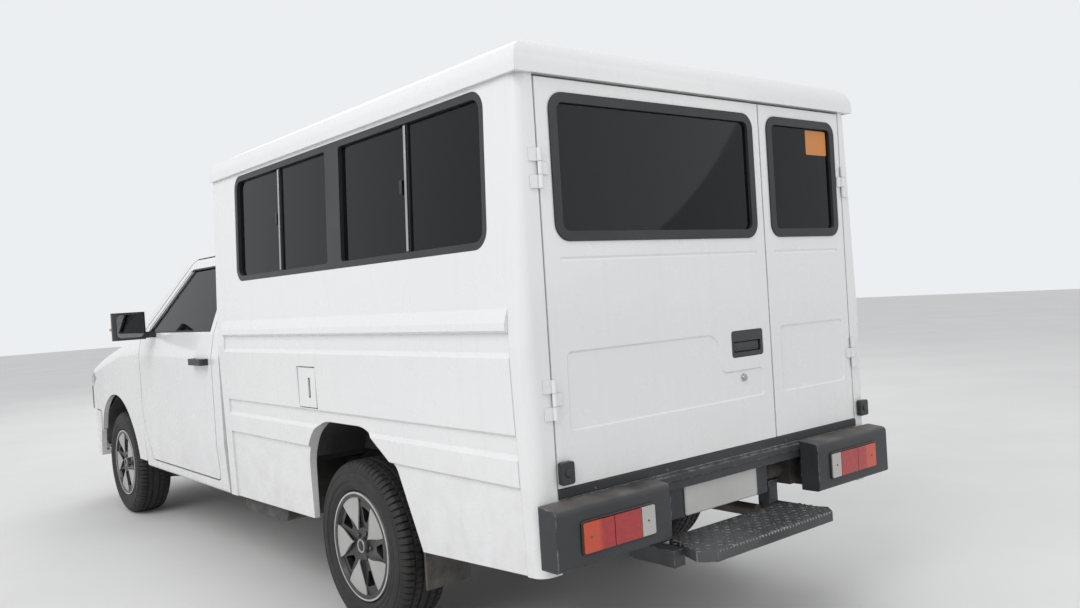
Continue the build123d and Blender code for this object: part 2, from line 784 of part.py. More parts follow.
# Side windows of the box
def side_window_frame():
    """Dark frame around both windows with the post between them and two mullions."""
    outline = inset(window_points, seat_gap)
    hole_inset = window_frame
    rear_half = (-57.0, window_rear_x + hole_inset)
    front_half = (window_front_x - hole_inset, 52.0)
    frame = lean_prism(outline, 2, 34)
    low_z, high_z = window_sill_z + hole_inset, window_head_z - hole_inset
    r = window_corner - hole_inset
    for a, b, ra, rb in ((rear_half[1], rear_half[0], r, 14), (front_half[1], front_half[0], 14, r)):
        hole = [(a, low_z, ra), (b, low_z, rb), (b, high_z, rb), (a, high_z, ra)]
        frame -= lean_prism(hole, -5, 50)
    for x in (-515.0, 486.0):
        bar = [(x - window_mullion, low_z - 2), (x + window_mullion, low_z - 2),
               (x + window_mullion, high_z + 2), (x - window_mullion, high_z + 2)]
        frame += lean_prism(bar, 12, 30)
    return frame


def side_glass():
    """Four panes in the side window frame."""
    panes = []
    low_z, high_z = window_sill_z + window_frame, window_head_z - window_frame
    g = seat_gap
    r = window_corner - window_frame - g
    spans = (
        # rear x, front x, rear corner radius, front corner radius
        (window_rear_x + window_frame, -515.0 - window_mullion, r, 4),
        (-515.0 + window_mullion, -57.0, 4, 14),
        (52.0, 486.0 - window_mullion, 14, 4),
        (486.0 + window_mullion, window_front_x - window_frame, 4, r),
    )
    for x0, x1, ra, rb in spans:
        pane = [(x0 + g, low_z + g, ra), (x1 - g, low_z + g, rb), (x1 - g, high_z - g, rb),
                (x0 + g, high_z - g, ra)]
        panes.append(lean_prism(pane, 18, 18 + glass_thickness))
    return panes


parts["side_window_frames"] = group(side_window_frame(), right(side_window_frame()))
parts["side_glass"] = group(*side_glass(), *[right(pane) for pane in side_glass()])


# Rear doors
hinge_barrel = 7.0
hinge_pin = 4.0
rear_hinge_x = box_rear_x - 9.0
rear_hinge_zs = (1612.0, 941.0)
hinge_height = 118.0


def rear_hinge(side):
    """Fixed and moving halves of the two outside hinges of one rear door."""
    axis_y = side * (door_half - rear_door_gap / 2)
    fixed, moving = [], None
    for z in rear_hinge_zs:
        h = hinge_height / 2
        thirds = ((-h, -h / 3), (h / 3, h))
        pin = rod((rear_hinge_x, axis_y, z - h), (rear_hinge_x, axis_y, z + h), hinge_pin)
        for low, high in thirds:
            pin += rod((rear_hinge_x, axis_y, z + low), (rear_hinge_x, axis_y, z + high),
                       hinge_barrel)
            y0, y1 = sorted((axis_y, axis_y + side * 34))
            pin += block(box_rear_x - 6, box_rear_x - seat_gap, y0, y1, z + low, z + high)
        fixed.append(pin)
        low, high = -h / 3 + 1, h / 3 - 1
        barrel = rod((rear_hinge_x, axis_y, z + low), (rear_hinge_x, axis_y, z + high),
                     hinge_barrel)
        y0, y1 = sorted((axis_y, axis_y - side * 34))
        barrel += block(box_rear_x - 6, box_rear_x + 2, y0, y1, z + low, z + high)
        y2 = axis_y - side * (rear_door_gap / 2 + 1)
        y0, y1 = sorted((axis_y, y2))
        barrel -= block(box_rear_x - 0.5, box_rear_x + 5, y0, y1, z + low, z + high)
        barrel -= rod((rear_hinge_x, axis_y, z - h), (rear_hinge_x, axis_y, z + h),
                      hinge_pin + running_gap)
        moving = barrel if moving is None else moving + barrel
    return fixed, moving


def rear_door(side, low_y, high_y, window):
    """A rear door leaf: outer sheet with pressed panels and a window hole."""
    leaf = block(box_rear_x, box_rear_x + rear_door_thickness, low_y, high_y,
                 rear_door_bottom_z, rear_door_top_z)
    leaf -= prism(window, "x", box_rear_x - 5, box_rear_x + rear_door_thickness + 5)
    fixed, moving = rear_hinge(side)
    return leaf + moving, fixed


rear_windows = {
    "left": [(-229, 1400, 55), (733, 1400, 55), (733, 1840, 55), (-229, 1840, 55)],
    "right": [(-744, 1402, 50), (-313, 1402, 50), (-313, 1841, 50), (-744, 1841, 50)],
}
rear_door_edges = {
    # low y, high y
    "left": (rear_split_y + rear_door_gap / 2, door_half - rear_door_gap),
    "right": (-door_half + rear_door_gap, rear_split_y - rear_door_gap / 2),
}
rear_pressings = {
    # closed outlines of shallow pressed panels, then straight creases as (low y, high y, z)
    "left": ([(-219, 840, 18), (722, 840, 18), (718, 1075, 18), (25, 1075, 60), (4, 941, 24),
              (-219, 941, 18)], (-216, 718, 1348)),
    "right": ([(-735, 838, 18), (-332, 838, 18), (-332, 1079, 18), (-735, 1079, 18)],
              (-726, -325, 1348)),
}


def pressed(leaf, name):
    """The leaf with its panel pressed in, with sloping sides, and the crease below the window."""
    outline, (low_y, high_y, z) = rear_pressings[name]
    face = ring(outline, lambda p: (box_rear_x, p.X, p.Y))
    leaf = leaf - extrude(face, amount=pressing_depth, dir=(1, 0, 0), taper=55)
    groove = [(box_rear_x - 1, z - 7), (box_rear_x - 1, z + 7), (box_rear_x, z + 6),
              (box_rear_x + 2.5, z), (box_rear_x, z - 6)]
    return leaf - prism(groove, "y", low_y, high_y)


hinge_halves = []
for name, side in (("left", 1), ("right", -1)):
    low_y, high_y = rear_door_edges[name]
    leaf, fixed = rear_door(side, low_y, high_y, rear_windows[name])
    leaf = pressed(leaf, name)
    if name == "left":
        leaf -= prism([(-226, 985, 12), (-48, 985, 12), (-48, 1078, 12), (-226, 1078, 12)], "x",
                      box_rear_x - 5, box_rear_x + 22)
        handle = prism([(-225, 986, 11), (-49, 986, 11), (-49, 1077, 11), (-225, 1077, 11)], "x",
                       box_rear_x + 2, box_rear_x + 21.7)
        handle -= block(box_rear_x - 1, box_rear_x + 16, -212, -62, 1002, 1040)
        parts["rear_door_latch"] = handle
    parts[f"rear_door_{name}"] = leaf
    hinge_halves += fixed
    seal = inset(rear_windows[name], seat_gap)
    gasket = prism(seal, "x", box_rear_x - 5, box_rear_x + 24)
    gasket -= prism(inset(seal, 30), "x", box_rear_x - 10, box_rear_x + 30)
    parts[f"rear_gasket_{name}"] = gasket
    pane = prism(inset(seal, 30 + seat_gap), "x", box_rear_x + 6, box_rear_x + 12)
    parts[f"rear_glass_{name}"] = pane


# Rear bumpers, lamps, step and plate panel
def rear_bumper():
    """A short moulded bumper with a rounded upper edge and a lamp recess."""
    outline = [
        (bumper_rear_x, rear_bumper_bottom_z, 10), (bumper_rear_x, rear_bumper_top_z - 8, 18),
        (bumper_front_x, rear_bumper_top_z), (bumper_front_x, rear_bumper_bottom_z),
    ]
    shell = prism(outline, "y", bumper_inner_y, bumper_outer_y)
    inner = block(bumper_front_x, -985, rail_half + rail_width / 2 + seat_gap,
                  bumper_outer_y - 110, 470, 560)
    recess = prism(inset(lamp_points, -2), "x", bumper_rear_x - 5, bumper_rear_x + 24)
    return shell + inner - recess


lamp_points = [(478, 505, 6), (774, 505, 6), (774, 593, 6), (478, 593, 6)]
lamp_divider_ys = (536.0, 650.0)
parts["rear_bumpers"] = group(rear_bumper(), right(rear_bumper()))


def tail_lamp():
    """A lamp of three lens blocks, orange, red and clear, with grooves between them."""
    lamp = prism(lamp_points, "x", bumper_rear_x - 8, bumper_rear_x + 24 - seat_gap)
    for y in lamp_divider_ys:
        lamp -= block(bumper_rear_x - 9, bumper_rear_x - 3, y - 1.5, y + 1.5, 500, 600)
    return lamp


parts["tail_lamps"] = group(tail_lamp(), right(tail_lamp()))


def rear_step():
    """Tread plate with chamfered corners on two arms from the frame."""
    cut = 46.0
    plate = prism(
        [(step_front_x, -290), (step_rear_x + cut, -step_half), (step_rear_x, -step_half + cut),
         (step_rear_x, step_half - cut), (step_rear_x + cut, step_half), (step_front_x, 290)],
        "z", step_z - step_thickness, step_z,
    )
    for y in (-rail_half + 80, rail_half - 80):
        plate += block(-1180, -985, y - 25, y + 25, step_z - step_thickness - 30, step_z - 10)
        plate += block(-1035, -985, y - 25, y + 25, step_z - 30,
                       rear_cross_z - rear_cross_radius - seat_gap)
    return plate


def plate_panel():
    """Dark panel between the bumpers, with two screw holes for a number plate."""
    panel = block(plate_panel_x, plate_panel_x + plate_panel_thickness, -260, 260, 478, 618)
    for y in (-plate_screw_y, plate_screw_y):
        panel -= rod((plate_panel_x - 5, y, plate_screw_z), (plate_panel_x + 15, y, plate_screw_z),
                     plate_screw_radius)
    return panel


parts["rear_step"] = group(rear_step(), plate_panel())


# Cab form
def cab_profiles(depth):
    """Front and side outlines of the cab, moved inwards by a depth."""
    across = both_sides([
        (cab_half - 16, cab_sill_z, 20), (cab_half, 600, 200), (cab_half, 1040, 120),
        (cab_belt_half, cab_belt_z, 30), (cab_rail_half, cab_rail_z, 90),
        (400, cab_crown_z - 14, 500),
    ])
    along = [
        (cab_rear_x, cab_sill_z), (screen_base_x, cab_sill_z), (screen_base_x, screen_base_z),
        (screen_head_x, screen_head_z, 130), (screen_head_x - 325, cab_crown_z + 8, 900),
        (cab_rear_x + 60, cab_crown_z - 30, 60), (cab_rear_x, 1500, 60),
    ]
    return (inset(across, depth), inset(along, depth)) if depth else (across, along)


def cab_form(depth):
    """The cab's closed shape, or the space a wall's depth inside it."""
    across, along = cab_profiles(depth)
    wide = prism(across, "x", cab_rear_x - 10, screen_base_x + 10)
    return wide & prism(along, "y", -900, 900)


cab_outer = cab_form(0)
cab_inner = cab_form(cab_wall)
cab_door_depth = cab_form(cab_door_wall)
cab_door_rebate = cab_form(cab_door_wall + moving_gap)

screen_slope = (screen_base_x - screen_head_x) / (screen_head_z - screen_base_z)
door_line_offset = cab_door_front_x - screen_base_x
door_head_z = 1555.0
door_head_x = screen_base_x - (door_head_z - screen_base_z) * screen_slope + door_line_offset
cab_door_points = [
    (cab_door_rear_x, cab_door_bottom_z, 30), (cab_door_front_x - 117, cab_door_bottom_z, 40),
    (cab_door_front_x, 700, 80), (cab_door_front_x, screen_base_z, 20),
    (door_head_x, door_head_z, 60), (cab_door_rear_x, door_head_z, 50),
]

screen_length = hypot(screen_base_x - screen_head_x, screen_head_z - screen_base_z)
screen_up = Vector(screen_head_x - screen_base_x, 0, screen_head_z - screen_base_z).normalized()
screen_out = Vector(screen_up.Z, 0, -screen_up.X)
screen_points = [(-765, 50, 60), (765, 50, 60), (610, 770, 80), (-610, 770, 80)]


def screen_prism(points, outer, inner):
    """A solid through the windscreen's plane; points are (y, distance up the slope)."""
    base = Vector(screen_base_x, 0, screen_base_z)
    left = Vector(0, 1, 0)

    def place(p):
        return base + left * p.X + screen_up * p.Y - screen_out * inner

    return extrude(ring(points, place), amount=inner - outer, dir=screen_out)


rear_window_points = [(-560, 1190, 60), (560, 1190, 60), (540, 1470, 60), (-540, 1470, 60)]


def cab_shell():
    """Roof, pillars, rear wall, floor, sills and bulkhead, open at doors and windows."""
    rear, front = cab_rear_x - 40, screen_base_x + 83
    room = cab_inner & block(rear, front, -900, 900, cab_floor_z, 1800)
    shell = cab_outer - room
    shell -= block(rear, front, -cab_sill_inner_y, cab_sill_inner_y, 300,
                   cab_floor_z - cab_floor_thickness)
    opening = inset(cab_door_points, -moving_gap)
    rebate = cab_outer - cab_door_rebate
    for low, high in ((500, 900), (-900, -500)):
        shell -= prism(opening, "y", low, high) & rebate
        side = 1 if low > 0 else -1
        shell -= block(fender_rear_x - seat_gap, front, *sorted((side * hinge_pillar_half, side * 900)),
                       300, screen_base_z + 40)
    shell -= screen_prism(screen_points, -20, 120)
    shell -= prism(rear_window_points, "x", cab_rear_x - 10, cab_rear_x + cab_wall + 10)
    shell += block(screen_base_x, bonnet_rear_x - 10, -700, 700, 1040, cowl_shelf_z)
    return shell


parts["cab_shell"] = cab_shell()
windscreen = screen_prism(inset(screen_points, seat_gap), 5, 11)
cab_rear_glass = prism(inset(rear_window_points, seat_gap), "x", cab_rear_x + 8, cab_rear_x + 14)
parts["cab_glass"] = group(windscreen, cab_rear_glass)

cab_hinge_y = cab_half - 6.0
cab_hinge_zs = (740.0, 1010.0)
cab_hinge_half = 30.0
cab_hinge_barrel = 6.0
cab_hinge_pin = 3.5


def cab_hinges():
    """Fixed hinge halves on the left hinge pillar."""
    fixed = []
    for z in cab_hinge_zs:
        piece = rod((cab_door_front_x, cab_hinge_y, z - cab_hinge_half),
                    (cab_door_front_x, cab_hinge_y, z + cab_hinge_half), cab_hinge_pin)
        for low, high in ((-cab_hinge_half, -12), (12, cab_hinge_half)):
            piece += rod((cab_door_front_x, cab_hinge_y, z + low),
                         (cab_door_front_x, cab_hinge_y, z + high), cab_hinge_barrel)
            piece += block(cab_door_front_x + 1, cab_door_front_x + 7,
                           hinge_pillar_half + seat_gap - 14, cab_hinge_y, z + low, z + high)
        fixed.append(piece)
    return fixed


def cab_door():
    """Left cab door with its window frame and the moving hinge barrels."""
    door = (cab_outer - cab_door_depth) & prism(cab_door_points, "y", 500, 900)
    window = inset(cab_door_points, cab_door_frame)
    above_belt = block(cab_rear_x, screen_base_x, 400, 1000, cab_belt_z + 14, 1700)
    door -= prism(window, "y", 500, 900) & above_belt
    bevel = prism([(cab_door_front_x - 9, cab_half + 1), (cab_door_front_x + 5, cab_half + 1),
                   (cab_door_front_x + 5, cab_half - 12)], "z", 300, 1300)
    door -= bevel
    for z in cab_hinge_zs:
        door -= rod((cab_door_front_x, cab_hinge_y, z - cab_hinge_half - 1),
                    (cab_door_front_x, cab_hinge_y, z + cab_hinge_half + 1), 9)
        door += rod((cab_door_front_x, cab_hinge_y, z - 11),
                    (cab_door_front_x, cab_hinge_y, z + 11), cab_hinge_barrel)
        door += block(cab_door_front_x - 14, cab_door_front_x, cab_hinge_y - 6, cab_hinge_y + 2,
                      z - 11, z + 11)
        door -= rod((cab_door_front_x, cab_hinge_y, z - cab_hinge_half - 1),
                    (cab_door_front_x, cab_hinge_y, z + cab_hinge_half + 1),
                    cab_hinge_pin + running_gap)
    return door


def cab_door_glass():
    """Door pane in the window hole, following the cab's inward lean."""
    window = inset(cab_door_points, cab_door_frame + seat_gap)
    layer = cab_form(12) - cab_form(17)
    region = prism(window, "y", 500, 900) & block(cab_rear_x, screen_base_x, 400, 1000,
                                                  cab_belt_z + 14 + seat_gap, 1700)
    return layer & region


def mirror_piece():
    """Door mirror: rounded housing on an arm from the window's front corner."""
    rear = cab_door_front_x - 307
    housing = prism([(rear, 905, 24), (rear, 1085, 26), (rear + 60, 1085, 26),
                     (rear + 95, 905, 34)], "z", 1135, 1290)
    arm = block(rear + 30, rear + 70, 848, 930, 1140, 1175)
    return housing + arm


def door_handle():
    """Pull handle on the door skin."""
    rear, front = cab_door_rear_x + 40, cab_door_rear_x + 225
    grip = prism([(rear, cab_half + 14, 8), (front, cab_half + 14, 8),
                  (front + 8, cab_half + 40, 18), (rear - 8, cab_half + 40, 18)], "z", 998, 1030)
    for x in (rear + 10, front - 8):
        grip += block(x - 14, x + 14, cab_half + seat_gap, cab_half + 22, 998, 1030)
    return grip


for name, place in (("left", lambda piece: piece), ("right", right)):
    parts[f"cab_door_{name}"] = place(cab_door())
    parts[f"cab_door_glass_{name}"] = place(cab_door_glass())
    parts[f"mirror_and_handle_{name}"] = group(place(mirror_piece()), place(door_handle()))
hinge_halves += cab_hinges() + [right(piece) for piece in cab_hinges()]

# Cab interior
seat_x = cab_rear_x + 60.0
seat_outline = [
    (seat_x + 30, 760, 40), (seat_x + 580, 740, 40), (seat_x + 600, 880, 50),
    (seat_x + 180, 880, 60), (seat_x + 100, 1380, 36), (seat_x, 1380, 36),
]
cab_seat = prism(seat_outline, "y", -640, 640)
cab_seat += block(seat_x + 60, seat_x + 530, -600, 600, cab_floor_z + seat_gap, 780)
parts["cab_seat"] = cab_seat
bulkhead_x = screen_base_x - cab_wall - seat_gap
dashboard = prism(
    [(bulkhead_x, 850), (bulkhead_x, 1085, 30), (bulkhead_x - 132, 1110, 40),
     (bulkhead_x - 282, 1040, 60), (bulkhead_x - 242, 850, 40)], "y", -740, 740,
)


steering_centre = (cab_door_front_x - 392, 370, 1080)


def steering_wheel():
    """Wheel rim with three spokes on its column from the dashboard."""
    tilt = Rot(0, -62, 0)
    hoop = Torus(180, 15)
    hub = Cylinder(45, 40)
    spokes = Pos(0, 88, 0) * Box(30, 180, 14) + Pos(0, -88, 0) * Box(30, 180, 14)
    spokes += Pos(-88, 0, 0) * Box(180, 30, 14)
    return Pos(*steering_centre) * tilt * (hoop + hub + spokes + steering_column(26))


def steering_column(radius):
    """The column's straight shaft below the wheel, along the wheel's own axis."""
    return Pos(0, 0, -150) * Cylinder(radius, 300)


parts["steering_wheel"] = steering_wheel()
column_hole = Pos(*steering_centre) * Rot(0, -62, 0) * steering_column(26 + seat_gap)
parts["dashboard"] = dashboard - column_hole


# Nose: bonnet, fenders, grille, lamps, bumper
nose_sections = (
    # x from the front axle, half width, shoulder z, crown z
    (-563, 868, 1142, 1190), (-185, 869, 1124, 1184), (285, 862, 1040, 1132),
    (615, 838, 985, 1072), (875, 800, 930, 990), (1005, 790, 900, 940),
)


def nose_section(from_axle, half, shoulder, crown, depth):
    """One cross section of the nose, moved inwards by a depth."""
    outline = both_sides([
        (half - 12, 300), (half, 620, 150), (half, shoulder - 76, 60),
        (half - 84, shoulder, 70), (0.45 * half, crown - 12, 500),
    ])
    if depth:
        outline = inset(outline, depth)
    return ring(outline, lambda p: (wheelbase + from_axle, p.X, p.Y))


def nose_form(depth):
    """The closed nose: lofted sections trimmed to the plan and side outlines."""
    faces = [nose_section(*row, depth) for row in nose_sections]
    body = loft(faces, ruled=True)
    axle_x = wheelbase
    plan = both_sides([(900, fender_rear_x), (900, axle_x + 635, 300), (700, axle_x + 905, 260),
                       (360, nose_front_x, 500)])
    plan = [(b, a, *rest) for a, b, *rest in (inset(plan, depth) if depth else plan)]
    side = [(fender_rear_x, 300), (fender_rear_x, 1300), (axle_x + 615, 1300),
            (axle_x + 820, 1032, 60), (axle_x + 905, 930, 60), (axle_x + 945, 660, 80),
            (nose_front_x, 600, 40), (nose_front_x, 450, 60), (axle_x + 925, 335, 40),
            (axle_x + 615, 335), (axle_x + 555, 300)]
    side = inset(side, depth) if depth else side
    return body & prism(plan, "z", 250, 1400) & prism(side, "y", -950, 950)


nose_outer = nose_form(0)
nose_skin = nose_outer - nose_form(nose_wall)
nose_skin -= block(fender_rear_x - 22, fender_rear_x + 38, -836, 836, 200, 1110)
nose_skin -= block(fender_rear_x - 22, screen_base_x - 25, -775, 775, 200, 1300)
nose_skin -= block(fender_rear_x - 22, wheelbase + 615, -820, 820, 250, 345)
bonnet_plan = [
    (bonnet_rear_x, -bonnet_half_rear, 8), (bonnet_front_x, -bonnet_half_front, 60),
    (bonnet_front_x, bonnet_half_front, 60), (bonnet_rear_x, bonnet_half_rear, 8),
]
arch_centre_z = tyre_radius + 5
arch_tool = rod((wheelbase, -950, arch_centre_z), (wheelbase, 950, arch_centre_z),
                front_arch_radius)
bonnet_low_z = 890.0
bonnet_hinge_x = bonnet_rear_x + 10
bonnet_hinge_z = 1106.0
bonnet_hinge_y = 600.0


def bonnet():
    """Bonnet skin with the two ears that its hinge pins pass through."""
    skin = nose_skin & prism(bonnet_plan, "z", bonnet_low_z, 1400)
    for side in (1, -1):
        ear = block(bonnet_hinge_x - 10, bonnet_hinge_x + 16, side * bonnet_hinge_y - 8,
                    side * bonnet_hinge_y + 8, bonnet_hinge_z - 14, bonnet_hinge_z + 40)
        ear -= rod((bonnet_hinge_x, side * bonnet_hinge_y - 20, bonnet_hinge_z),
                   (bonnet_hinge_x, side * bonnet_hinge_y + 20, bonnet_hinge_z),
                   6 + running_gap)
        skin += ear
    return skin


def bonnet_brackets():
    """Fixed brackets with the bonnet's hinge pins."""
    made = []
    for side in (1, -1):
        y = side * bonnet_hinge_y
        piece = rod((bonnet_hinge_x, y - 24, bonnet_hinge_z),
                    (bonnet_hinge_x, y + 24, bonnet_hinge_z), 6)
        for offset in (-24, 12):
            piece += rod((bonnet_hinge_x, y + offset, bonnet_hinge_z),
                         (bonnet_hinge_x, y + offset + 12, bonnet_hinge_z), 8)
            piece += block(bonnet_rear_x - 10 + seat_gap, bonnet_hinge_x + 8, y + offset,
                           y + offset + 12, bonnet_hinge_z - 50, bonnet_hinge_z - 4)
        made.append(piece)
    return made


parts["bonnet"] = bonnet()
parts["cowl"] = nose_outer & block(
    screen_base_x + panel_gap, bonnet_rear_x - 10, -bonnet_half_rear, bonnet_half_rear,
    cowl_shelf_z + seat_gap, cowl_shelf_z + 12)
parts["hinges"] = group(*hinge_halves, *bonnet_brackets())
bonnet_hole = prism(inset(bonnet_plan, -panel_gap), "z", bonnet_low_z - panel_gap, 1400)
face_x = wheelbase + 675.0
ahead_x = nose_front_x + 25.0
lamp_region = [(face_x - 150, 860), (face_x - 60, 905), (ahead_x, 905), (ahead_x, 800),
               (face_x, 790)]
lamp_block = prism(lamp_region, "y", 500, 950)


def fender():
    """Left front fender: skin beside the bonnet, behind the lamp and above the bumper."""
    rear = fender_rear_x - 22
    skin = nose_skin & block(rear, ahead_x, 450, 950, 300, 1400)
    skin -= bonnet_hole
    skin -= block(rear, bonnet_rear_x + 14, 400, bonnet_half_rear + panel_gap, 300, 1400)
    skin -= block(rear, screen_base_x + panel_gap, 400, hinge_pillar_half + panel_gap, 300, 1400)
    skin -= arch_tool
    grown = [(x, z) for x, z, *_ in inset([(x, z, 0) for x, z in lamp_region], -panel_gap)]
    skin -= prism(grown, "y", 450, 950)
    skin -= block(front_bumper_rear_x - panel_gap, ahead_x + 50, 400, 950, 290,
                  bumper_top_z + panel_gap)
    skin -= block(face_x - panel_gap, ahead_x + 50, 400, 950, 290, 1400)
    skin -= block(rear, rear + 200, 400, 950, 290, 400)
    return skin


parts["front_fenders"] = group(fender(), right(fender()))


def bumper_form(depth):
    """The bumper's outer form, or the space a depth inside it, open at the back."""
    rear = front_bumper_rear_x - 2 * depth
    half = [(860, rear), (850, wheelbase + 565, 400), (700, wheelbase + 900, 260),
            (360, nose_front_x - 12, 500)]
    mirrored = both_sides(half)
    plan = [(x, y, *rest) for y, x, *rest in mirrored[:4] + [(0, nose_front_x)] + mirrored[4:]]
    side = [(rear, bumper_top_z), (nose_front_x - 43, bumper_top_z), (nose_front_x, 590, 60),
            (nose_front_x, 450, 60), (nose_front_x - 65, bumper_bottom_z),
            (rear, bumper_bottom_z)]
    if depth:
        plan, side = inset(plan, depth), inset(side, depth)
    return prism(plan, "z", bumper_bottom_z - 5, bumper_top_z + 5) & prism(side, "y", -950, 950)


def front_bumper():
    """Bumper cover that wraps back to the wheel arches, open behind and below."""
    cover = bumper_form(0) - bumper_form(nose_wall)
    rear, front = front_bumper_rear_x - 90, nose_front_x + 25
    cover -= block(rear, wheelbase + 685, -790, 790, bumper_top_z - 60, bumper_top_z + 10)
    cover -= block(rear, wheelbase + 755, -790, 790, 300, bumper_bottom_z + 60)
    for z in (402, 446):
        slot = [(-430, z, 12), (430, z, 12), (440, z + 30, 12), (-440, z + 30, 12)]
        cover -= prism(slot, "x", wheelbase + 765, front)
    for side in (1, -1):
        hollow = [(side * y, z, r) for y, z, r in
                  ((560, 440, 14), (700, 440, 14), (690, 520, 14), (560, 520, 14))]
        cover -= prism(hollow, "x", wheelbase + 765, front)
    return cover - arch_tool


parts["front_bumper"] = front_bumper()
carrier_room = bumper_form(nose_wall + seat_gap)
for side in (1, -1):
    carrier = block(wheelbase + 820, ahead_x, *sorted((side * 270, side * 330)), 490, 550)
    parts["chassis_frame"] += carrier & carrier_room
face_region = block(face_x, ahead_x, -950, 950, bumper_top_z + seat_gap, 1400)
front_face = (nose_skin & face_region) - bonnet_hole - lamp_block - right(lamp_block)
grille_low_z, grille_pitch, grille_slot = 690.0, 40.0, 28.0
grille_cells = ((-432, -156), (-144, 144), (156, 432))
for row in range(5):
    z = grille_low_z + row * grille_pitch
    for low_y, high_y in grille_cells:
        slot = [(low_y, z, 8), (high_y, z, 8), (high_y, z + grille_slot, 8),
                (low_y, z + grille_slot, 8)]
        front_face -= prism(slot, "x", face_x + 40, ahead_x)
parts["grille"] = front_face
head_lamp = (nose_outer - nose_form(60)) & prism(
    inset([(x, z, 0) for x, z in lamp_region], seat_gap), "y", 500 + seat_gap, 950)
parts["headlamps"] = group(head_lamp, right(head_lamp))


def front_liner():
    """Front wheel-arch liner, a part cylinder inside the fender."""
    outer = rod((wheelbase, 480, arch_centre_z), (wheelbase, 820, arch_centre_z),
                front_arch_radius - seat_gap)
    liner = outer - rod((wheelbase, 470, arch_centre_z), (wheelbase, 830, arch_centre_z),
                        front_arch_radius - 6)
    return liner & block(wheelbase - 600, wheelbase + 600, 470, 830, 420, 800)


liners = [wheel_house(), front_liner()]
parts["wheel_arch_liners"] = group(*liners, *[right(piece) for piece in liners])

os.makedirs("parts", exist_ok=True)
for name, piece in parts.items():
    export_step(Pos(-middle_x, 0, 0) * piece, f"parts/{name}.step")
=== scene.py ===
"""Looks for the single-cab pickup with its boxed passenger body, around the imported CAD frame.

Lengths are written in millimetres as in the part's source (X forward from the rear axle, Y to
the left, Z up) and turned into the frame's metres by at().
"""
from math import cos, pi, radians, sin

import bmesh
import bpy
from mathutils import Matrix, Vector


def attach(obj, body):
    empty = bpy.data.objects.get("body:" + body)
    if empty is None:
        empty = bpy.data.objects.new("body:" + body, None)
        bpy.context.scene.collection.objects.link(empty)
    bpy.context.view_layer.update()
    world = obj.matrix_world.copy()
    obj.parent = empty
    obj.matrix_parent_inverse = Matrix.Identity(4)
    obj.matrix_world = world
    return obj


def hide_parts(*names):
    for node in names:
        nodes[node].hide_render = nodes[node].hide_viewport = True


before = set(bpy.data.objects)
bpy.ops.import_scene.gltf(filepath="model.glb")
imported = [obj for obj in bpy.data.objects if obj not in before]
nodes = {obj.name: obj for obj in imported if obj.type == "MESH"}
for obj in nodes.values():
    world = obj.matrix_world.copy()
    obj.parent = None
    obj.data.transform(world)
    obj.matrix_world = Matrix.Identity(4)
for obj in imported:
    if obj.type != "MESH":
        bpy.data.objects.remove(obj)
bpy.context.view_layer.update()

MIDDLE_X = 1386.5
WHEELBASE = 3085.0
TYRE_RADIUS = 327.0
WHEEL_Y = 737.0
REAR_X = -1120.0

# Windscreen: foot of its plane, and the run and rise of its slope
SCREEN_FOOT_X, SCREEN_FOOT_Z = 2617, 1140
SCREEN_RUN, SCREEN_RISE = 692, 500
SCREEN_COS, SCREEN_SIN = 0.8106, 0.5857

# Number plates: half width, and each screw's distance from the middle line
PLATE_HALF, PLATE_SCREW_Y = 195, 105

# Cloth: even mesh size in metres, frames and pressure of the simulation
VOXEL = 0.013
CLOTH_FRAMES = 20
CLOTH_PRESSURE = 4.0

# Photograph: width and focal length in pixels, camera place in the part's millimetres
PHOTO_WIDTH, PHOTO_FOCAL = 1080, 913.88
CAMERA_PLACE = (-3116.3, 2517.0, 1252.5)
SENSOR_WIDTH = 36.0


def at(x, y, z):
    """A point of the part's source in the frame's metres."""
    return Vector(((x - MIDDLE_X) / 1000, y / 1000, z / 1000))


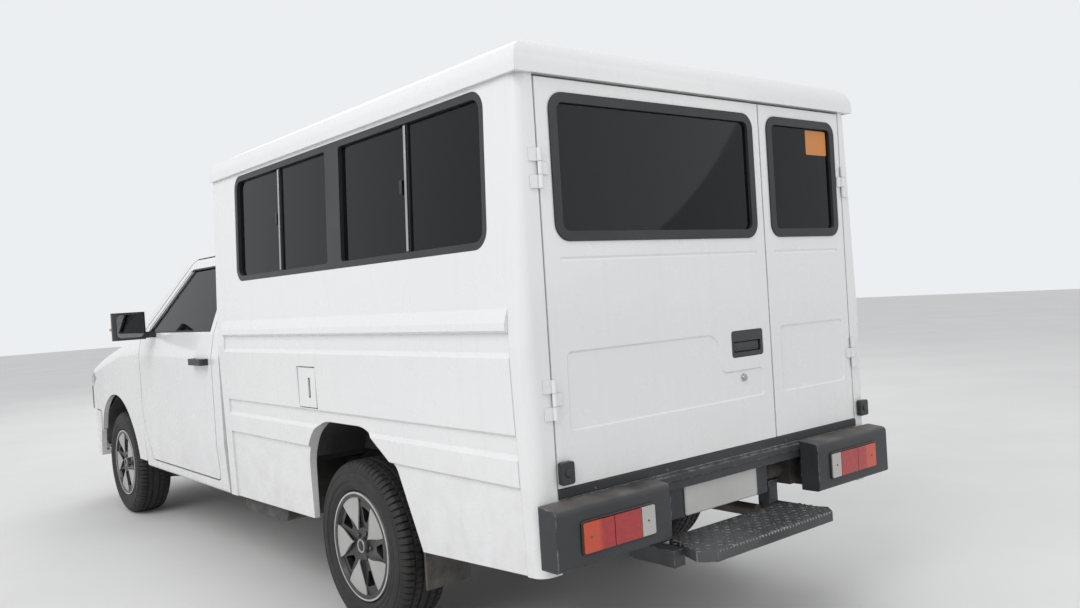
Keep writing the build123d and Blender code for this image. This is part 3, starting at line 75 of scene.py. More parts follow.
# Materials
class Look:
    """A Principled material built from noise, wear and dirt layers."""

    def __init__(self, name):
        self.material = bpy.data.materials.new(name)
        self.material.use_nodes = True
        self.tree = self.material.node_tree
        self.shader = self.tree.nodes["Principled BSDF"]
        self.place = self.node("ShaderNodeTexCoord").outputs["Object"]

    def node(self, kind, **values):
        made = self.tree.nodes.new(kind)
        for key, value in values.items():
            setattr(made, key, value)
        return made

    def link(self, source, target):
        self.tree.links.new(source, target)

    def feed(self, socket, value):
        """Sets a socket to a constant or links another socket to it."""
        if isinstance(value, bpy.types.NodeSocket):
            self.link(value, socket)
        else:
            socket.default_value = value

    def math(self, operation, a, b=0.0, clamp=False):
        made = self.node("ShaderNodeMath", operation=operation, use_clamp=clamp)
        self.feed(made.inputs[0], a)
        self.feed(made.inputs[1], b)
        return made.outputs[0]

    def noise(self, scale, detail=4.0, rough=0.55, stretch=None):
        made = self.node("ShaderNodeTexNoise")
        place = self.place
        if stretch:
            mapping = self.node("ShaderNodeMapping")
            mapping.inputs["Scale"].default_value = stretch
            self.link(place, mapping.inputs["Vector"])
            place = mapping.outputs[0]
        self.link(place, made.inputs["Vector"])
        made.inputs["Scale"].default_value = scale
        made.inputs["Detail"].default_value = detail
        made.inputs["Roughness"].default_value = rough
        return made.outputs["Fac"]

    def ramp(self, value, low, high, to_low=0.0, to_high=1.0):
        """A value mapped from one range to another, clamped."""
        made = self.node("ShaderNodeMapRange")
        self.feed(made.inputs["Value"], value)
        for key, number in zip(("From Min", "From Max", "To Min", "To Max"),
                               (low, high, to_low, to_high)):
            made.inputs[key].default_value = number
        return made.outputs[0]

    def mix(self, share, a, b):
        """Colour a towards colour b by a share."""
        made = self.node("ShaderNodeMix", data_type="RGBA")
        self.feed(made.inputs[0], share)
        for socket, value in ((made.inputs[6], a), (made.inputs[7], b)):
            self.feed(socket, (*value, 1.0) if isinstance(value, tuple) else value)
        return made.outputs[2]

    def axis(self, name):
        """One object coordinate: X, Y or Z, in metres."""
        made = self.node("ShaderNodeSeparateXYZ")
        self.link(self.place, made.inputs[0])
        return made.outputs[name]

    def wheel_radius(self):
        """Distance from the nearer axle, in metres; the axles lie evenly about one X."""
        middle, half = WHEELBASE / 2000 - MIDDLE_X / 1000, WHEELBASE / 2000
        along = self.math("SUBTRACT", self.axis("X"), middle)
        along = self.math("SUBTRACT", self.math("ABSOLUTE", along), half)
        rise = self.math("SUBTRACT", self.axis("Z"), TYRE_RADIUS / 1000)
        return self.math("SQRT", self.math("ADD", self.math("MULTIPLY", along, along),
                                           self.math("MULTIPLY", rise, rise)))

    def upward(self):
        """Share by which a surface faces up."""
        geometry = self.node("ShaderNodeNewGeometry")
        split = self.node("ShaderNodeSeparateXYZ")
        self.link(geometry.outputs["Normal"], split.inputs[0])
        return self.ramp(split.outputs["Z"], 0.55, 0.95)

    def edge(self, radius):
        """(edge mask, rounded normal) from a bevel of that radius in metres."""
        bevel = self.node("ShaderNodeBevel", samples=4)
        bevel.inputs["Radius"].default_value = radius
        geometry = self.node("ShaderNodeNewGeometry")
        dot = self.node("ShaderNodeVectorMath", operation="DOT_PRODUCT")
        self.link(bevel.outputs[0], dot.inputs[0])
        self.link(geometry.outputs["Normal"], dot.inputs[1])
        return self.ramp(dot.outputs["Value"], 0.995, 0.9), bevel.outputs[0]

    def bump(self, height, strength, distance=0.001, normal=None):
        made = self.node("ShaderNodeBump")
        made.inputs["Strength"].default_value = strength
        made.inputs["Distance"].default_value = distance
        self.link(height, made.inputs["Height"])
        if normal is not None:
            self.link(normal, made.inputs["Normal"])
        return made.outputs[0]

    def finish(self, colour, rough, normal=None, **constants):
        """Feeds the shader and returns the material."""
        self.feed(self.shader.inputs["Base Color"],
                  (*colour, 1.0) if isinstance(colour, tuple) else colour)
        self.feed(self.shader.inputs["Roughness"], rough)
        if normal is not None:
            self.link(normal, self.shader.inputs["Normal"])
        for key, value in constants.items():
            self.shader.inputs[key.replace("_", " ")].default_value = value
        return self.material


DUST = (0.33, 0.30, 0.26)


def plain_look(name, colour, shade, grain, rough, bump=0.3, wear=None, dust=0.25, low_dust=0.0,
               edge_radius=0.0015, **constants):
    """Mottled surface with fine grain, worn edges and dust on what faces up or lies low."""
    look = Look(name)
    mottle = look.noise(3.5, 6.0)
    fine = look.noise(grain, 3.0)
    tone = look.mix(look.ramp(mottle, 0.35, 0.7), colour, shade)
    edge, rounded = look.edge(edge_radius)
    if wear:
        worn = look.math("MULTIPLY", edge, look.ramp(look.noise(40.0, 5.0), 0.45, 0.62))
        tone = look.mix(worn, tone, wear)
    film = look.math("MULTIPLY", look.upward(), look.ramp(look.noise(9.0, 6.0), 0.3, 0.7, 0.0, dust))
    if low_dust:
        low = look.ramp(look.axis("Z"), 0.75, 0.05, 0.0, low_dust)
        splash = look.math("MULTIPLY", low, look.ramp(look.noise(14.0, 8.0, 0.7), 0.35, 0.65))
        film = look.math("ADD", film, splash, clamp=True)
    tone = look.mix(film, tone, DUST)
    gloss = look.ramp(fine, 0.3, 0.7, *rough)
    gloss = look.math("ADD", gloss, look.math("MULTIPLY", film, 0.35), clamp=True)
    normal = look.bump(fine, bump, 0.0006, rounded)
    return look.finish(tone, gloss, normal, **constants)


def paint_look():
    """Gloss white paint: faint mottling, rain streaks, road film low down, soft panel edges darkened
    by painted shade.
    """
    look = Look("white_paint")
    tone = look.mix(look.ramp(look.noise(0.9, 3.0), 0.3, 0.7), (0.775, 0.775, 0.77),
                    (0.735, 0.74, 0.745))
    streak = look.ramp(look.noise(4.0, 4.0, 0.5, stretch=(7.0, 7.0, 0.3)), 0.55, 0.8, 0.0, 0.16)
    tone = look.mix(streak, tone, (0.60, 0.59, 0.565))
    low = look.ramp(look.axis("Z"), 0.85, 0.35, 0.0, 1.0)
    film = look.math("MULTIPLY", low, look.ramp(look.noise(11.0, 8.0, 0.7), 0.4, 0.75, 0.0, 0.42))
    tone = look.mix(film, tone, (0.47, 0.43, 0.37))
    edge, rounded = look.edge(0.003)
    # Painted shade: the paint is darkened in patches along panel edges and creases.
    edge_shade = look.math("MULTIPLY", edge, look.ramp(look.noise(30.0, 5.0), 0.5, 0.7, 0.0, 0.3))
    tone = look.mix(edge_shade, tone, (0.45, 0.44, 0.42))
    rough = look.math("ADD", look.ramp(look.noise(5.0, 3.0), 0.3, 0.7, 0.22, 0.3),
                      look.math("MULTIPLY", film, 0.5))
    peel = look.bump(look.noise(260.0, 2.0), 0.06, 0.0004, rounded)
    return look.finish(tone, rough, peel, Coat_Weight=0.55, Coat_Roughness=0.08)


def glass_look(name, colour, alpha, smear, shine):
    """Tinted glass seen from outside, with faint dried spots."""
    look = Look(name)
    spots = look.ramp(look.noise(38.0, 6.0, 0.7), 0.62, 0.78, 0.0, smear)
    tone = look.mix(spots, colour, (0.30, 0.30, 0.29))
    rough = look.math("ADD", look.ramp(look.noise(6.0, 3.0), 0.3, 0.7, 0.015, 0.05), spots)
    normal = look.bump(look.noise(2.2, 1.0), 0.03, 0.004)
    return look.finish(tone, rough, normal, Alpha=alpha, Specular_IOR_Level=shine)


def tyre_look():
    """Near-black rubber under a thin brown dust, with fine rings moulded in the wall."""
    look = Look("tyre_rubber")
    wall = look.mix(look.ramp(look.noise(16.0, 6.0), 0.35, 0.7), (0.011, 0.011, 0.012),
                    (0.023, 0.022, 0.021))
    dust = look.ramp(look.noise(26.0, 8.0, 0.7), 0.42, 0.72, 0.0, 0.4)
    tone = look.mix(dust, wall, (0.055, 0.048, 0.042))
    radius = look.wheel_radius()
    band = look.ramp(look.math("ABSOLUTE", look.math("SUBTRACT", radius, 0.268)), 0.028, 0.030)
    rings = look.math("SINE", look.math("MULTIPLY", radius, 1500.0))
    height = look.math("ADD", look.math("MULTIPLY", rings, band), look.noise(520.0, 3.0))
    normal = look.bump(height, 0.35, 0.0007)
    return look.finish(tone, look.ramp(dust, 0.0, 0.55, 0.62, 0.92), normal)


def rim_look():
    """Cast wheel: silver painted leaves and lip on a dark face, its edges mixed towards warm grey.
    """
    look = Look("wheel_finish")
    side = look.math("ABSOLUTE", look.axis("Y"))
    raised = look.math("MULTIPLY", look.ramp(side, 0.8246, 0.8252),
                       look.ramp(look.wheel_radius(), 0.2005, 0.2015))
    silver = look.mix(look.ramp(look.noise(22.0, 5.0), 0.35, 0.7), (0.60, 0.60, 0.61),
                      (0.44, 0.43, 0.42))
    dark = look.mix(look.ramp(look.noise(35.0, 6.0), 0.4, 0.7), (0.010, 0.010, 0.011),
                    (0.032, 0.030, 0.027))
    tone = look.mix(raised, dark, silver)
    edge, rounded = look.edge(0.002)
    tone = look.mix(look.math("MULTIPLY", edge, 0.35), tone, (0.30, 0.29, 0.28))
    normal = look.bump(look.noise(600.0, 2.0), 0.12, 0.0003, rounded)
    rough = look.ramp(look.noise(60.0, 4.0), 0.3, 0.7, 0.28, 0.46)
    look.feed(look.shader.inputs["Metallic"], look.math("MULTIPLY", raised, 0.55))
    return look.finish(tone, rough, normal, Coat_Weight=0.25, Coat_Roughness=0.15)


def lamp_look():
    """Tail lamp lenses: orange outside, red in the middle, clear inside, with moulded ribs."""
    look = Look("tail_lamp_lens")
    side = look.math("ABSOLUTE", look.axis("Y"))
    red = look.mix(look.ramp(look.noise(90.0, 4.0), 0.3, 0.7), (0.42, 0.011, 0.012),
                   (0.30, 0.007, 0.008))
    tone = look.mix(look.ramp(side, 0.698, 0.716), red, (0.52, 0.050, 0.009))
    tone = look.mix(look.ramp(side, 0.5365, 0.5355), tone, (0.42, 0.415, 0.40))
    ribs = look.node("ShaderNodeTexWave", bands_direction="Y")
    look.link(look.place, ribs.inputs["Vector"])
    ribs.inputs["Scale"].default_value = 46.0
    rungs = look.node("ShaderNodeTexWave", bands_direction="Z")
    look.link(look.place, rungs.inputs["Vector"])
    rungs.inputs["Scale"].default_value = 34.0
    pattern = look.math("ADD", ribs.outputs["Fac"], rungs.outputs["Fac"])
    normal = look.bump(pattern, 0.22, 0.0009)
    return look.finish(tone, look.ramp(look.noise(40.0, 4.0), 0.3, 0.7, 0.1, 0.2), normal,
                       Coat_Weight=0.5, Coat_Roughness=0.06)


def headlamp_look():
    """Headlamp: a dark housing behind a clear cover, with two round bright reflectors."""
    look = Look("headlamp_lens")
    side = look.math("ABSOLUTE", look.axis("Y"))
    rise = look.math("SUBTRACT", look.axis("Z"), 0.850)
    rise = look.math("MULTIPLY", rise, rise)
    bright = 0.0
    for place, size in ((0.585, 0.040), (0.695, 0.036)):
        across = look.math("SUBTRACT", side, place)
        reach = look.math("SQRT", look.math("ADD", look.math("MULTIPLY", across, across), rise))
        ring = look.ramp(reach, size, size - 0.003)
        wave = look.math("SINE", look.math("MULTIPLY", reach, 700.0))
        shade = look.ramp(wave, -1.0, 1.0, 0.45, 1.0)
        bright = look.math("ADD", look.math("MULTIPLY", ring, shade), bright, clamp=True)
    strip = look.math("MULTIPLY", look.ramp(look.axis("Z"), 0.806, 0.808),
                      look.ramp(look.axis("Z"), 0.818, 0.816))
    bright = look.math("ADD", bright, strip, clamp=True)
    dark = look.mix(look.ramp(look.noise(30.0, 5.0), 0.35, 0.7), (0.09, 0.092, 0.097),
                    (0.15, 0.152, 0.158))
    tone = look.mix(bright, dark, (0.72, 0.73, 0.75))
    look.feed(look.shader.inputs["Metallic"], look.math("MULTIPLY", bright, 0.6))
    normal = look.bump(bright, 0.4, 0.003)
    return look.finish(tone, look.ramp(look.noise(20.0, 4.0), 0.3, 0.7, 0.1, 0.2), normal,
                       Coat_Weight=1.0, Coat_Roughness=0.03)


def fabric_look():
    """Woven seat cloth: crossed threads, mottled colour and a soft sheen."""
    look = Look("seat_cloth")
    pitch = 0.0022
    threads = []
    for way in ("X", "Y", "Z"):
        wave = look.node("ShaderNodeTexWave", bands_direction=way)
        look.link(look.place, wave.inputs["Vector"])
        wave.inputs["Scale"].default_value = 0.31 / pitch
        wave.inputs["Distortion"].default_value = 0.6
        threads.append(wave.outputs["Fac"])
    weave = look.math("MULTIPLY", look.math("MAXIMUM", threads[0], threads[2]), threads[1])
    tone = look.mix(look.ramp(look.noise(5.0, 6.0), 0.35, 0.65), (0.075, 0.078, 0.085),
                    (0.050, 0.052, 0.058))
    tone = look.mix(look.ramp(weave, 0.0, 1.0, 0.35, 0.0), tone, (0.01, 0.01, 0.011))
    normal = look.bump(weave, 0.5, 0.0006)
    return look.finish(tone, look.ramp(look.noise(120.0, 3.0), 0.3, 0.7, 0.75, 0.95), normal,
                       Sheen_Weight=0.3, Sheen_Roughness=0.4)


def vinyl_look():
    """Leather-like vinyl with a cell grain and a few creases."""
    look = Look("bench_vinyl")
    cells = look.node("ShaderNodeTexVoronoi", feature="DISTANCE_TO_EDGE")
    look.link(look.place, cells.inputs["Vector"])
    cells.inputs["Scale"].default_value = 420.0
    grain = look.ramp(cells.outputs["Distance"], 0.0, 0.12)
    tone = look.mix(look.ramp(look.noise(4.0, 6.0), 0.35, 0.65), (0.085, 0.088, 0.094),
                    (0.055, 0.057, 0.062))
    height = look.math("ADD", grain, look.math("MULTIPLY", look.noise(24.0, 6.0), 2.0))
    normal = look.bump(height, 0.35, 0.0006)
    return look.finish(tone, look.ramp(look.noise(30.0, 4.0), 0.3, 0.7, 0.38, 0.55), normal)


def mirror_look():
    """Dark silvered glass with faint smears."""
    look = Look("mirror_glass")
    return look.finish((0.20, 0.21, 0.22), look.ramp(look.noise(20.0, 3.0), 0.3, 0.7, 0.02, 0.06),
                       look.bump(look.noise(3.0), 0.02), Metallic=1.0)


PAINT = paint_look()
FLOOR_MAT = plain_look("ribbed_floor_mat", (0.05, 0.051, 0.053), (0.085, 0.083, 0.08), 300.0,
                       (0.7, 0.9), 0.5, dust=0.5)
UNDERBODY = plain_look("underbody_black", (0.018, 0.018, 0.019), (0.05, 0.047, 0.043), 180.0,
                       (0.5, 0.8), 0.4, wear=(0.13, 0.075, 0.045), dust=0.5, low_dust=0.6)
IRON = plain_look("cast_iron", (0.10, 0.10, 0.105), (0.16, 0.15, 0.14), 220.0, (0.55, 0.8), 0.6,
                  dust=0.3, Metallic=0.6)
PIPE = plain_look("exhaust_steel", (0.24, 0.225, 0.205), (0.16, 0.11, 0.075), 150.0, (0.4, 0.7),
                  0.4, wear=(0.22, 0.10, 0.05), dust=0.3, Metallic=0.85)
TANK = plain_look("tank_plastic", (0.025, 0.025, 0.026), (0.05, 0.047, 0.044), 260.0, (0.55, 0.75),
                  0.4, dust=0.4, low_dust=0.4)
BUMPER = plain_look("grained_bumper", (0.022, 0.025, 0.029), (0.036, 0.039, 0.044), 420.0,
                    (0.42, 0.6), 0.55, wear=(0.36, 0.36, 0.36), dust=0.4, edge_radius=0.005)
TRIM = plain_look("black_trim", (0.016, 0.017, 0.018), (0.03, 0.031, 0.033), 500.0, (0.32, 0.5),
                  0.3, dust=0.25)
SEAL = plain_look("rubber_seal", (0.015, 0.016, 0.018), (0.027, 0.028, 0.030), 350.0, (0.45, 0.65),
                  0.3, dust=0.15)
TREAD_PLATE = plain_look("worn_step_plate", (0.040, 0.044, 0.050), (0.085, 0.090, 0.097), 160.0,
                         (0.4, 0.65), 0.5, wear=(0.50, 0.50, 0.50), dust=0.12,
                         edge_radius=0.004, Metallic=0.25)
STEEL = plain_look("bright_steel", (0.50, 0.50, 0.51), (0.36, 0.355, 0.35), 300.0, (0.25, 0.4),
                   0.15, dust=0.1, Metallic=0.9)
SILVER = plain_look("silver_wheel_paint", (0.47, 0.47, 0.46), (0.38, 0.375, 0.36), 400.0,
                    (0.35, 0.5), 0.12, wear=(0.2, 0.19, 0.18), dust=0.1, Metallic=0.35)
DULL = plain_look("dull_zinc", (0.12, 0.12, 0.122), (0.075, 0.07, 0.065), 300.0, (0.4, 0.6), 0.2,
                  dust=0.2, Metallic=0.7)
WORN = plain_look("worn_steel", (0.36, 0.355, 0.34), (0.16, 0.155, 0.15), 200.0, (0.35, 0.6), 0.4,
                  dust=0.2, Metallic=0.6)
PLATE = plain_look("blank_plate", (0.70, 0.70, 0.68), (0.60, 0.60, 0.575), 200.0, (0.3, 0.45), 0.1,
                   dust=0.2)
ORANGE = plain_look("blank_sticker", (0.62, 0.22, 0.035), (0.52, 0.20, 0.05), 200.0, (0.4, 0.55),
                    0.1, dust=0.1)
CLEAR_LENS = glass_look("clear_lens", (0.42, 0.44, 0.46), 0.85, 0.15, 0.5)
DARK_GLASS = glass_look("dark_tinted_glass", (0.004, 0.005, 0.007), 0.88, 0.03, 0.22)
SCREEN_GLASS = glass_look("windscreen_glass", (0.018, 0.026, 0.025), 0.55, 0.06, 0.4)
MIRROR = mirror_look()
RUBBER = tyre_look()
WHEEL = rim_look()
LAMP = lamp_look()
HEADLAMP = headlamp_look()
SEAT_CLOTH = fabric_look()
VINYL = vinyl_look()

node_looks = (
    (PAINT, "body_side_left body_side_right body_roof body_front_wall rear_frame rear_door_left "
            "rear_door_right cab_shell cab_door_left cab_door_right front_fenders bonnet "
            "front_bumper fuel_flap hinges"),
    (FLOOR_MAT, "body_floor"),
    (UNDERBODY, "chassis_frame rear_axle leaf_springs front_suspension knuckle_left "
                "knuckle_right drive_shaft"),
    (IRON, "engine_block"), (PIPE, "exhaust"), (TANK, "fuel_tank wheel_arch_liners"),
    (BUMPER, "rear_bumpers grille"),
    (TRIM, "rear_door_latch mirror_and_handle_left mirror_and_handle_right side_window_frames "
           "dashboard steering_wheel cowl"),
    (SEAL, "rear_gasket_left rear_gasket_right"),
    (DARK_GLASS, "side_glass cab_door_glass_left cab_door_glass_right rear_glass_left "
                 "rear_glass_right"),
    (SCREEN_GLASS, "cab_glass"),
    (WHEEL, "rim_fl rim_fr rim_rl rim_rr"), (LAMP, "tail_lamps"), (TREAD_PLATE, "rear_step"),
    (HEADLAMP, "headlamps"),
)
for look, names in node_looks:
    for name in names.split():
        mesh = nodes[name].data
        mesh.materials.clear()
        mesh.materials.append(look)


# Building helpers
def make(name, form, look, body, smooth=40.0, bevel=0.0, segments=2):
    """Turns a bmesh into an object that rides on a body."""
    mesh = bpy.data.meshes.new(name)
    bmesh.ops.recalc_face_normals(form, faces=form.faces)
    form.to_mesh(mesh)
    form.free()
    obj = bpy.data.objects.new(name, mesh)
    bpy.context.scene.collection.objects.link(obj)
    mesh.materials.append(look)
    if bevel:
        edge = obj.modifiers.new("edge", "BEVEL")
        edge.width, edge.segments, edge.limit_method = bevel / 1000, segments, "ANGLE"
    mesh.shade_smooth()
    mesh.set_sharp_from_angle(angle=radians(smooth))
    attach(obj, body)
    return obj


def add_box(form, x0, x1, y0, y1, z0, z1):
    """A box between two corners, in millimetres."""
    low, high = at(x0, y0, z0), at(x1, y1, z1)
    place = Matrix.Translation((low + high) / 2) @ Matrix.Diagonal((*(high - low), 1.0))
    bmesh.ops.create_cube(form, size=1.0, matrix=place)


def add_bar(form, start, end, radius, sides=20, end_radius=None):
    """A round or tapered bar between two points, in millimetres."""
    a, b = at(*start), at(*end)
    turn = (b - a).to_track_quat("Z", "Y").to_matrix().to_4x4()
    bmesh.ops.create_cone(
        form, cap_ends=True, segments=sides, radius1=radius / 1000,
        radius2=(radius if end_radius is None else end_radius) / 1000, depth=(b - a).length,
        matrix=Matrix.Translation((a + b) / 2) @ turn)


def add_plate(form, points, low, high):
    """An extruded outline: points are millimetre places, low and high are shifts of them."""
    rings = [[form.verts.new(at(*(a + b for a, b in zip(p, shift)))) for p in points]
             for shift in (low, high)]
    form.faces.new(rings[0])
    form.faces.new(list(reversed(rings[1])))
    for i in range(len(points)):
        j = (i + 1) % len(points)
        form.faces.new((rings[0][j], rings[0][i], rings[1][i], rings[1][j]))


def rounded(low_a, high_a, low_b, high_b, radius, steps=5):
    """Corner points of a rounded rectangle in two coordinates."""
    points = []
    for ca, cb, start in ((high_a, high_b, 0), (low_a, high_b, 90), (low_a, low_b, 180),
                          (high_a, low_b, 270)):
        centre_a = ca - radius if ca == high_a else ca + radius
        centre_b = cb - radius if cb == high_b else cb + radius
        for i in range(steps + 1):
            angle = radians(start + 90 * i / steps)
            points.append((centre_a + radius * cos(angle), centre_b + radius * sin(angle)))
    return points


def add_lathe(form, profile, centre_x, turns, shape=None):
    """A ring about a wheel's axle; profile points are (radius, y), shape may change a point."""
    rings = []
    for i in range(turns):
        angle = 2 * pi * i / turns
        ring = []
        for j, (radius, y) in enumerate(profile):
            if shape:
                radius, y = shape(i, j, radius, y)
            ring.append(form.verts.new(
                at(centre_x + radius * cos(angle), y, TYRE_RADIUS + radius * sin(angle))))
        rings.append(ring)
    for i in range(turns):
        here, there = rings[i], rings[(i + 1) % turns]
        for j in range(len(profile)):
            k = (j + 1) % len(profile)
            form.faces.new((here[j], here[k], there[k], there[j]))


def tube(name, points, radius, look, body, cyclic=False):
    """A round strip that follows points in millimetres."""
    curve = bpy.data.curves.new(name, "CURVE")
    curve.dimensions, curve.bevel_depth, curve.bevel_resolution = "3D", radius / 1000, 3
    curve.use_fill_caps = True
    spline = curve.splines.new("POLY")
    spline.points.add(len(points) - 1)
    for point, place in zip(spline.points, points):
        point.co = (*at(*place), 1.0)
    spline.use_cyclic_u = cyclic
    curve.materials.append(look)
    obj = bpy.data.objects.new(name, curve)
    bpy.context.scene.collection.objects.link(obj)
    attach(obj, body)
    return obj


# Wheels: tyres with a real tread, silver leaves, nuts with the valve, hub rings
STEPS_PER_BLOCK = 6
TREAD_BLOCKS = 76
SHOULDER_GROOVE, RIB_NOTCH = 8, 4.5
tread_half = (
    # radius, distance from the tyre's middle, tread band of this point
    (192, 83, 0), (210, 84.5, 0), (217, 94, 0), (226, 97.5, 0), (232, 101, 0), (236, 101, 0),
    (239, 99.5, 0), (250, 101.5, 0), (251.5, 104, 0), (256, 104.6, 0), (257.5, 103, 0),
    (262, 103.5, 0), (284, 101.2, 0), (285.5, 103, 0), (290, 102, 0), (291.5, 99.2, 0),
    (298, 97, 0), (300, 97.5, 0), (308, 93, 1), (317, 86.5, 1), (322.5, 78, 1), (325.5, 68, 1),
    (326.5, 57, 1), (318.5, 55.5, 0), (318.5, 48.5, 0), (326.8, 47, 2), (327, 24.5, 2),
    (319, 23, 0), (319, 15.5, 0), (327, 14, 3),
)
LEAVES = 5
LEAF_FACE_Y = 826
leaf_edges = (
    # radius and angle at the start and end of an edge, and its bow in degrees
    (60, 190, 4, -24, -9), (190, 190, -24, 17, 0), (190, 60, 17, 4, 5),
)
STEPS_PER_EDGE = 8
NUT_CIRCLE = 50
VALVE_RADIUS, VALVE_ANGLE = 176, 232


def tread_shape(i, j, radius, y):
    """Lateral grooves across the shoulders and short notches in the inner ribs."""
    band = tread_bands[j]
    step = (i + (3 if y < WHEEL_Y else 0) + band) % STEPS_PER_BLOCK
    if band == 1 and step == 0:
        return radius - SHOULDER_GROOVE, y
    if band == 2 and step in (3, 4):
        return radius - RIB_NOTCH, y
    return radius, y


tread_profile = [(r, WHEEL_Y + y) for r, y, _ in tread_half]
tread_profile += [(r, WHEEL_Y - y) for r, y, _ in reversed(tread_half)]
tread_bands = [band for *_, band in tread_half] + [band for *_, band in reversed(tread_half)]

for corner, wheel_x, side in (("fl", WHEELBASE, 1), ("fr", WHEELBASE, -1), ("rl", 0, 1),
                              ("rr", 0, -1)):
    body = "wheel_" + corner
    form = bmesh.new()
    add_lathe(form, tread_profile, wheel_x, TREAD_BLOCKS * STEPS_PER_BLOCK, shape=tread_shape)
    if side < 0:
        bmesh.ops.scale(form, vec=(1, -1, 1), verts=form.verts)
    tyre = make("tyre_tread_" + corner, form, RUBBER, body, 16.0)
    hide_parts("tyre_" + corner)

    form = bmesh.new()
    for i in range(LEAVES):
        outline = []
        for low, high, start, end, bow in leaf_edges:
            for k in range(STEPS_PER_EDGE):
                share = k / STEPS_PER_EDGE
                radius = low + (high - low) * share
                angle = start + (end - start) * share + bow * sin(pi * share)
                angle = radians(angle + 360 / LEAVES * i)
                outline.append((wheel_x + radius * cos(angle), side * LEAF_FACE_Y,
                                TYRE_RADIUS + radius * sin(angle)))
        add_plate(form, outline, (0, -side * 4, 0), (0, side * 3.5, 0))
    make("wheel_leaves_" + corner, form, SILVER, body, bevel=1.6)

    form = bmesh.new()
    for i in range(LEAVES):
        angle = radians(360 / LEAVES * i + 40)
        x, z = wheel_x + NUT_CIRCLE * cos(angle), TYRE_RADIUS + NUT_CIRCLE * sin(angle)
        add_bar(form, (x, side * 806, z), (x, side * 818, z), 9, 6)
        add_bar(form, (x, side * 818, z), (x, side * 821, z), 8, 16, 5)
    x = wheel_x + VALVE_RADIUS * cos(radians(VALVE_ANGLE))
    z = TYRE_RADIUS + VALVE_RADIUS * sin(radians(VALVE_ANGLE))
    add_bar(form, (x, side * 812, z), (x, side * 829, z), 3.5, 12, 2.8)
    make("wheel_nuts_" + corner, form, DULL, body, bevel=0.6)

    form = bmesh.new()
    add_lathe(form, [(20, side * 829.2), (22, side * 830.6), (25.5, side * 830.6),
                     (27, side * 829.2), (25.5, side * 828), (22, side * 828)], wheel_x, 48)
    make("hub_ring_" + corner, form, STEEL, body)


# Rear face: sill strip and rail, door stops, lock, pull, blank sticker, blank plate
form = bmesh.new()
add_box(form, REAR_X - 4, REAR_X + 1, -786, 786, 650, 679)
make("rear_sill_strip", form, SEAL, "vehicle", bevel=2)
form = bmesh.new()
add_box(form, REAR_X - 2.5, REAR_X + 1, -784, 784, 589, 648.5)
add_box(form, REAR_X - 9, REAR_X - 2, -398, 398, 618, 640)
make("rear_sill_rail", form, BUMPER, "vehicle", bevel=2.5)
form = bmesh.new()
for i in range(5):
    y = -640 + 320 * i
    add_bar(form, (REAR_X - 3, y, 660), (REAR_X - 6, y, 660), 6, 16, 4.5)
make("rear_sill_screws", form, DULL, "vehicle", bevel=0.6)

door_stops = (
    # side, body, outline in Y and Z
    ("left", "rear_door_left", 731, 783, 692, 759), ("right", "vehicle", -856, -801, 687, 748),
)
for name, body, low_y, high_y, low_z, high_z in door_stops:
    form = bmesh.new()
    outline = [(REAR_X - 14, y, z) for y, z in rounded(low_y, high_y, low_z, high_z, 9)]
    add_plate(form, outline, (-6, 0, 0), (12, 0, 0))
    y, z = (low_y + high_y) / 2, (low_z + high_z) / 2
    add_bar(form, (REAR_X - 20, y, z), (REAR_X - 24, y, z), 13, 24, 11)
    make("rear_door_stop_" + name, form, TRIM, body, bevel=2.5)

form = bmesh.new()
add_bar(form, (REAR_X + 1, -108, 913), (REAR_X - 4, -108, 913), 13, 32, 11.5)
add_bar(form, (REAR_X - 3, -108, 913), (REAR_X - 5.5, -108, 913), 8, 24, 7.5)
make("rear_door_lock", form, STEEL, "rear_door_left", bevel=0.8)

form = bmesh.new()
outline = [(REAR_X + 10, y, z) for y, z in rounded(-206, -68, 1005, 1037, 6)]
add_plate(form, outline, (-4, 0, 0), (3, 0, 0))
add_box(form, REAR_X + 5, REAR_X + 12, -196, -78, 1012, 1030)
make("rear_door_pull", form, TRIM, "rear_door_left", bevel=2)

form = bmesh.new()
add_plate(form, [(-1114.3, y, z) for y, z in rounded(-701, -567, 1712, 1805, 6)],
          (-0.5, 0, 0), (0, 0, 0))
make("blank_sticker", form, ORANGE, "rear_door_right")

form = bmesh.new()
add_plate(form, [(-1078, y, z) for y, z in
                 rounded(-PLATE_HALF, PLATE_HALF, 480, 616, 10)],
          (-2, 0, 0), (1.5, 0, 0))
for y in (-PLATE_SCREW_Y, PLATE_SCREW_Y):
    add_bar(form, (-1080, y, 580), (-1083, y, 580), 7, 20, 5.5)
make("rear_plate_blank", form, PLATE, "vehicle", bevel=1)
tube("rear_plate_rim", [(-1080, y, z) for y, z in rounded(-190, 190, 485, 611, 8)], 1.6, PLATE,
     "vehicle", True)
form = bmesh.new()
for y in (-60, 60):
    add_box(form, -1098, -1076, y - 28, y + 28, 620, 636)
make("plate_lamps", form, TRIM, "vehicle", bevel=4)

# Weather strip between the rear doors
form = bmesh.new()
add_box(form, REAR_X + 6, REAR_X + 22, -274.2, -269.8, 684, 1876)
make("rear_door_seal", form, SEAL, "vehicle", bevel=0.8)

# Lamp rims and lens screws
for side, name in ((1, "left"), (-1, "right")):
    points = [(-1203, side * y, z) for y, z in rounded(475, 777, 502, 596, 9)]
    tube("lamp_rim_" + name, points, 3.0, TRIM, "vehicle", True)
form = bmesh.new()
for side in (1, -1):
    for y in (508, 744):
        add_bar(form, (-1207, side * y, 549), (-1210, side * y, 549), 3.5, 16, 2.8)
make("lamp_screws", form, DULL, "vehicle", bevel=0.4)

